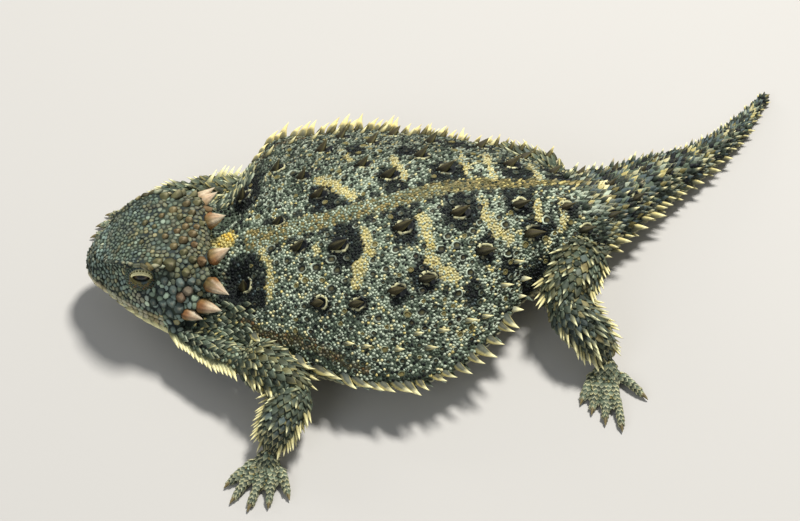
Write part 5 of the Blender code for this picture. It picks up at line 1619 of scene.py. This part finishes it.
def make_lids():
    """Each eye's lids: a thick ring from the slit's rim out into the socket, with small scales in rows."""
    around = 48
    phi = turns(around)
    slit = np.stack([1.28 * np.cos(phi), np.where(np.sin(phi) > 0, 0.40, 0.46) * np.sin(phi)
                     * (1 - 0.25 * np.cos(phi) ** 2)], -1)
    rim = LID_REACH * np.stack([np.cos(phi), np.sin(phi)], -1)
    shares, rises = np.array(LID_LEVELS).T
    for name, side in SIDES.items():
        centre, look, along, up = eye_frame(side)

        def bent(flat, size, share=1.0, sunk=0.0):
            """Places of the slit's plane, moved out on a ball round the eye's middle."""
            depth = np.sqrt(np.maximum(size ** 2 - (flat ** 2).sum(1) * share, 0.05)) - sunk
            return centre + flat[:, :1] * along + flat[:, 1:] * up + depth[:, None] * look

        rings = []
        for share, rise in zip(shares, rises):
            bar = 0.30 * np.exp(-((share - 0.16) / 0.13) ** 2) * np.clip(np.sin(phi), 0, 1) ** 0.5
            wrinkle = 0.05 * np.sin(share * 26) * (share > 0.2)
            rings.append(bent(slit * (1 - share) + rim * share, EYE_RADIUS + rise + bar + wrinkle))
        for share in (1.0, 0.6, 0.25):
            rings.append(bent(slit * (1 - share) + rim * share, EYE_RADIUS + 0.02, 0.62, 0.55 * share))
        points, count = np.concatenate(rings), len(rings)
        i, j = np.divmod(np.arange(count * around), around)
        a, b = i * around + j, i * around + (j + 1) % around
        ahead = ((i + 1) % count - i) * around
        faces = np.stack([a, b, b + ahead, a, b + ahead, a + ahead], -1).reshape(-1, 3)
        tone = mix(T.slate, T.olive, soft(mottle(points, 0.9), -0.4, 0.4))
        bar = (i >= 2) & (i <= 4) & (np.sin(phi)[j] > -0.05)
        tone = np.where(bar[:, None], T.cream, tone)
        tone = np.where(((i <= 1) | (i >= len(shares)))[:, None], T.ink * 1.4, tone)
        coat.add(f"lids_{name}", points[None], facing_out(points, faces, centre, 2 * around * 8), tone[None],
                 np.array([[0.5, 0.5]]))
        # Small scales in rows round the slit.
        for share, size, tone_name in ((0.34, 0.40, "olive"), (0.52, 0.42, "slate"), (0.70, 0.46, "moss"),
                                       (0.88, 0.52, "moss")):
            flat = slit * (1 - share) + rim * share
            closed = np.concatenate([flat, flat[:1]])
            number = int(np.linalg.norm(np.diff(closed, axis=0), axis=1).sum() / size)
            at = np.linspace(0, around, number, endpoint=False)
            spot = np.stack([np.interp(at, np.arange(around + 1), closed[:, k]) for k in range(2)], -1)
            places = bent(spot, float(np.interp(share, shares, EYE_RADIUS + rises)))
            normals = unit(places - centre)
            m = len(places)
            radii = kite(np.full(m, size * 1.05), np.full(m, size * 0.95), 8, 1.0, 2.2)
            body = TONE[tone_name] * rng.uniform(0.8, 1.2, (m, 1))
            body = mix(body, T.orange, 0.4 * (rng.random(m) < 0.2) * (spot[:, 1] < 0))
            add_scales(f"lids_{name}", places, normals, unit(np.cross(normals, look) * side), radii, body,
                       T.sage, 0.2, (0.14, 0.1, 0.0, 0.0, 0.08, SMALL_RINGS))


def make_eyes():
    """The eyes: round, with a streaked iris, a dark pupil and a painted blue-grey reflection over the lower
    part.
    """
    made = []
    angle = turns(40)
    polar = np.pi * (np.arange(26) + 0.5) / 26
    for name, side in SIDES.items():
        centre, look, along, up = eye_frame(side)
        ball = (np.cos(polar)[:, None, None] * look + np.sin(polar)[:, None, None]
                * (np.cos(angle)[None, :, None] * along + np.sin(angle)[None, :, None] * up))
        vertices, faces = [], []
        closed_rings(centre + EYE_RADIUS * ball, vertices, faces)
        points = np.array(vertices)
        triangles = facing_out(points,
                               np.array([t for f in faces for t
                                         in ((f,) if len(f) == 3
                                             else ((f[0], f[1], f[2]), (f[0], f[2], f[3])))]), centre)
        way = unit(points - centre)
        off = np.degrees(np.arccos(np.clip(way @ look, -1, 1)))
        streaks = np.array([noise.noise(Vector(p) * 2.4) for p in way * 3])
        iris = mix(T.brown, T.amber, np.clip(0.4 + streaks, 0, 1)) * 0.5
        colour = mix(T.ink * 0.25, iris, soft(off, *PUPIL_RIM))
        colour = mix(colour, T.ink * 0.4, soft(off, *IRIS_RIM))
        # Painted reflection: a blue-grey glint over the lower part of the eye.
        low = soft(-way @ up, 0.08, 0.2) * soft(off, 8, 14)
        colour = mix(colour, T.steel, low * 0.75)
        made.append(mesh_piece(f"eye_{name}", points, triangles, colour, materials["eye"]))
        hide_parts(f"eye_{name}")
    return made


def make_horns():
    """Eight horns: stout cones, a little flat, with growth rings, and pale at the tip."""
    sides, rings = 18, 22
    angle = turns(sides)
    for label, (_, _, width, thickness) in HORNS.items():
        for name, side in SIDES.items():
            start, end = horn_ends(label, side)
            length = np.linalg.norm(end - start)
            ahead = (end - start) / length
            across = unit(np.cross(ahead, UP))
            up = np.cross(across, ahead)
            phase = rng.uniform(0, 6)
            points, colours = [], []
            for t in np.linspace(-0.20, 0.985, rings):
                out = max(t, 0)
                size = 1.06 + 1.8 * min(t, 0) - 0.06 * out - out ** 1.25
                size = max(size, 0.03) * (1 + 0.018 * np.sin(26 * t + phase))
                grooves = 1 + 0.03 * np.sin(angle * 5 + phase + 3 * t)
                centre = start + ahead * length * t + up * HORN_CURVE * out ** 2
                outline = (across * width / 2 * np.cos(angle)[:, None]
                           + up * thickness / 2 * np.sin(angle)[:, None])
                points.append(centre + size * grooves[:, None] * outline)
                base = mix(T.orange, T.olive, 0.45 + 0.35 * np.sin(angle * 2 + phase))
                flesh = mix(T.rose, T.bone, 0.5 + 0.4 * np.sin(angle * 3 - phase))
                tone = mix(base, flesh, float(soft(t, 0.10, 0.55)))
                tone = mix(tone, mix(T.bone, T.moss, 0.3), float(soft(t, 0.6, 0.95)) * 0.7)
                streak = 0.86 - 0.36 * np.abs(np.sin(angle * 4 + phase + 2 * t)) ** 2 * (1 - 0.5 * out)
                # The root, inside the skin, is darkened as painted shade where the horn meets the skin.
                colours.append(tone * streak[:, None] * (0.7 if t < 0 else 1))
            points.append((start + ahead * length + up * HORN_CURVE)[None])
            colours.append(T.bone[None])
            coat.add(f"horn_{label}_{name}_piece", np.concatenate(points)[None], shell_faces(rings, sides),
                     np.concatenate(colours)[None], np.array([[0.5, 0.5]]))


def make_claws():
    """A curved claw on each digit, growing paler towards its dark point."""
    sides, levels = 10, np.array([-0.35, 0.0, 0.25, 0.5, 0.75, 0.92])
    angle = turns(sides)
    for label, spec in LEGS.items():
        for tip, way in spec["claws"]:
            across = unit(np.cross(way, UP))
            points, colours = [], []
            for t in levels:
                f = max(t, 0)
                size = 0.32 * (1 - f ** 1.4) + 0.03
                centre = tip + way * (CLAW_LENGTH * t) + np.array([0, 0, 0.12 + 0.10 * f - 0.42 * f ** 2])
                points.append(centre + size * (across * 0.8 * np.cos(angle)[:, None] + np.array([0, 0, 1.0])
                                               * np.sin(angle)[:, None]))
                # The root, inside the digit, is darkened as painted shade where the claw meets the skin.
                tone = mix(T.claw, T.tan, 0.25 + 0.3 * f) * (0.8 if t < 0 else 1)
                colours.append(np.broadcast_to(tone, (sides, 3)))
            points.append((tip + way * CLAW_LENGTH + np.array([0, 0, 0.12 + 0.10 - 0.42]))[None])
            colours.append(T.claw[None])
            made = np.concatenate(points)
            made[:, 2] = np.maximum(made[:, 2], 0.0)
            coat.add(f"claws_{label}", made[None], shell_faces(len(levels), sides),
                     np.concatenate(colours)[None], unwrapped(tip[None]))


def node(tree, kind, links=(), **settings):
    """A new node with these settings. links are (output, name of the input it goes to)."""
    made = tree.nodes.new(kind)
    for key, value in settings.items():
        if key in made.bl_rna.properties:
            setattr(made, key, value)
        else:
            made.inputs[key.replace("_", " ")].default_value = value
    for output, name in links:
        tree.links.new(output, made.inputs[name])
    return made


def surface_material(name, roughness, spread, bump, grain, variation, specular=0.4, coat_weight=0.0):
    """A material that paints the piece's own colours, varied by noise, with fine relief."""
    made = bpy.data.materials.new(name)
    made.use_nodes = True
    tree = made.node_tree
    paint = node(tree, "ShaderNodeAttribute", attribute_name="Col")
    where = [(node(tree, "ShaderNodeTexCoord").outputs["Object"], "Vector")]
    fine = node(tree, "ShaderNodeTexNoise", where, Scale=grain, Detail=4.0, Roughness=0.6).outputs["Fac"]
    broad = node(tree, "ShaderNodeTexNoise", where, Scale=grain / 9, Detail=3.0, Roughness=0.5).outputs["Fac"]
    shade, grainy = (node(tree, "ShaderNodeMapRange", [(noisy, "Value")], From_Min=0.3, From_Max=0.7, To_Min=1
                          - variation, To_Max=1 + variation).outputs["Result"] for noisy in (broad, fine))
    both = node(tree, "ShaderNodeMath", [(shade, 0), (grainy, 1)], operation="MULTIPLY").outputs["Value"]
    tinted = node(tree, "ShaderNodeVectorMath", [(paint.outputs["Color"], 0), (both, "Scale")],
                  operation="SCALE")
    gloss = node(tree, "ShaderNodeMapRange", [(fine, "Value")], To_Min=roughness - spread, To_Max=roughness
                 + spread)
    relief = node(tree, "ShaderNodeBump", [(fine, "Height")], Strength=bump, Distance=0.00008)
    shader = tree.nodes["Principled BSDF"]
    for output, name in ((tinted.outputs["Vector"], "Base Color"), (gloss.outputs["Result"], "Roughness"),
                         (relief.outputs["Normal"], "Normal")):
        tree.links.new(output, shader.inputs[name])
    for name, value in (("Specular IOR Level", specular), ("Coat Weight", coat_weight),
                        ("Coat Roughness", 0.05)):
        shader.inputs[name].default_value = value
    return made


def placed(name, data, place, target):
    """A light or camera at a place, turned to the target."""
    made = bpy.data.objects.new(name, data)
    made.location = place
    made.rotation_euler = (Vector(target) - made.location).to_track_quat("-Z", "Y").to_euler()
    bpy.context.scene.collection.objects.link(made)
    return made


def make_stage():
    """Pale floor, soft lights and the camera."""
    floor_paint = bpy.data.materials.new("floor")
    floor_paint.use_nodes = True
    shader = floor_paint.node_tree.nodes["Principled BSDF"]
    shader.inputs["Base Color"].default_value = FLOOR_COLOUR
    shader.inputs["Roughness"].default_value = 0.85
    mesh = bpy.data.meshes.new("floor")
    size = FLOOR_HALF_SIZE
    mesh.from_pydata([(-size, -size, 0), (size, -size, 0), (size, size, 0), (-size, size, 0)], [],
                     [(0, 1, 2, 3)])
    mesh.materials.append(floor_paint)
    floor = bpy.data.objects.new("floor", mesh)
    bpy.context.scene.collection.objects.link(floor)
    world = bpy.data.worlds.new("studio")
    bpy.context.scene.world = world
    world.use_nodes = True
    back = world.node_tree.nodes["Background"]
    back.inputs["Color"].default_value = WORLD_COLOUR
    back.inputs["Strength"].default_value = WORLD_STRENGTH
    for name, (place, size, power, colour) in LIGHTS.items():
        data = bpy.data.lights.new(name, "AREA")
        data.shape = "DISK"
        data.size, data.energy, data.color = size, power, colour
        placed(name, data, place, (0, 0, 0))
    target = Vector((-PLACE[0] * MM, -PLACE[1] * MM, CAMERA_TARGET_Z))
    tilt = math.radians(CAMERA_TILT)
    data = bpy.data.cameras.new("camera")
    data.sensor_width = SENSOR_WIDTH
    data.lens = SENSOR_WIDTH * CAMERA_DISTANCE / FRAME_WIDTH
    spot = target + Vector((0, -math.cos(tilt), math.sin(tilt))) * CAMERA_DISTANCE
    bpy.context.scene.camera = placed("camera", data, spot, target)
    bpy.context.scene.view_settings.view_transform = "Standard"


FLESH = ("head", "lower_jaw", "neck", "torso", "tail_base", "tail_tip",
         *(f"leg_{label}_{part}" for label in LEGS for part in ("upper", "lower", "foot")))

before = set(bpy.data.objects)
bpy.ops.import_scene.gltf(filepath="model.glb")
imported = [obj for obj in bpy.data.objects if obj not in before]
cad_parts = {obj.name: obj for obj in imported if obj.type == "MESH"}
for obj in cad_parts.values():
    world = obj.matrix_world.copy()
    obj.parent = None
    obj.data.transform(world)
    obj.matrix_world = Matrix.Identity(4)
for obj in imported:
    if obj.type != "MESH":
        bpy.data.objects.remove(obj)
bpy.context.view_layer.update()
rng = np.random.default_rng(SEED)
add_body_patches()
for leg_label, leg_spec in LEGS.items():
    add_leg_patches(leg_label, leg_spec)
surface = Surface(*shaped_skin())
materials = {
    "scale": surface_material("scale_paint", 0.62, 0.10, 0.5, 5200, 0.18, 0.22),
    "skin": surface_material("skin_paint", 0.70, 0.10, 0.6, 3600, 0.2, 0.15),
    "horn": surface_material("horn_paint", 0.50, 0.10, 0.6, 2600, 0.20, 0.35),
    "eye": surface_material("eye_paint", 0.10, 0.03, 0.03, 2000, 0.15, 0.5, 1.0),
}
coat, blocked = Coat(), []
ringed = dress_back()
dress_edges()
dress_neck()
dress_tail()
for leg_label in LEGS:
    dress_leg(leg_label)
dress_head()
dress_skin(*ringed)
make_lids()
make_horns()
make_claws()
skin = mesh_piece("skin", surface.points, surface.triangles, paint_skin(), materials["skin"])
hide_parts(*FLESH)
for piece in [skin] + coat.build() + make_eyes():
    if piece.name.startswith("horn"):
        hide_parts(piece.name.removesuffix("_piece"))
    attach(piece, "root")
make_stage()
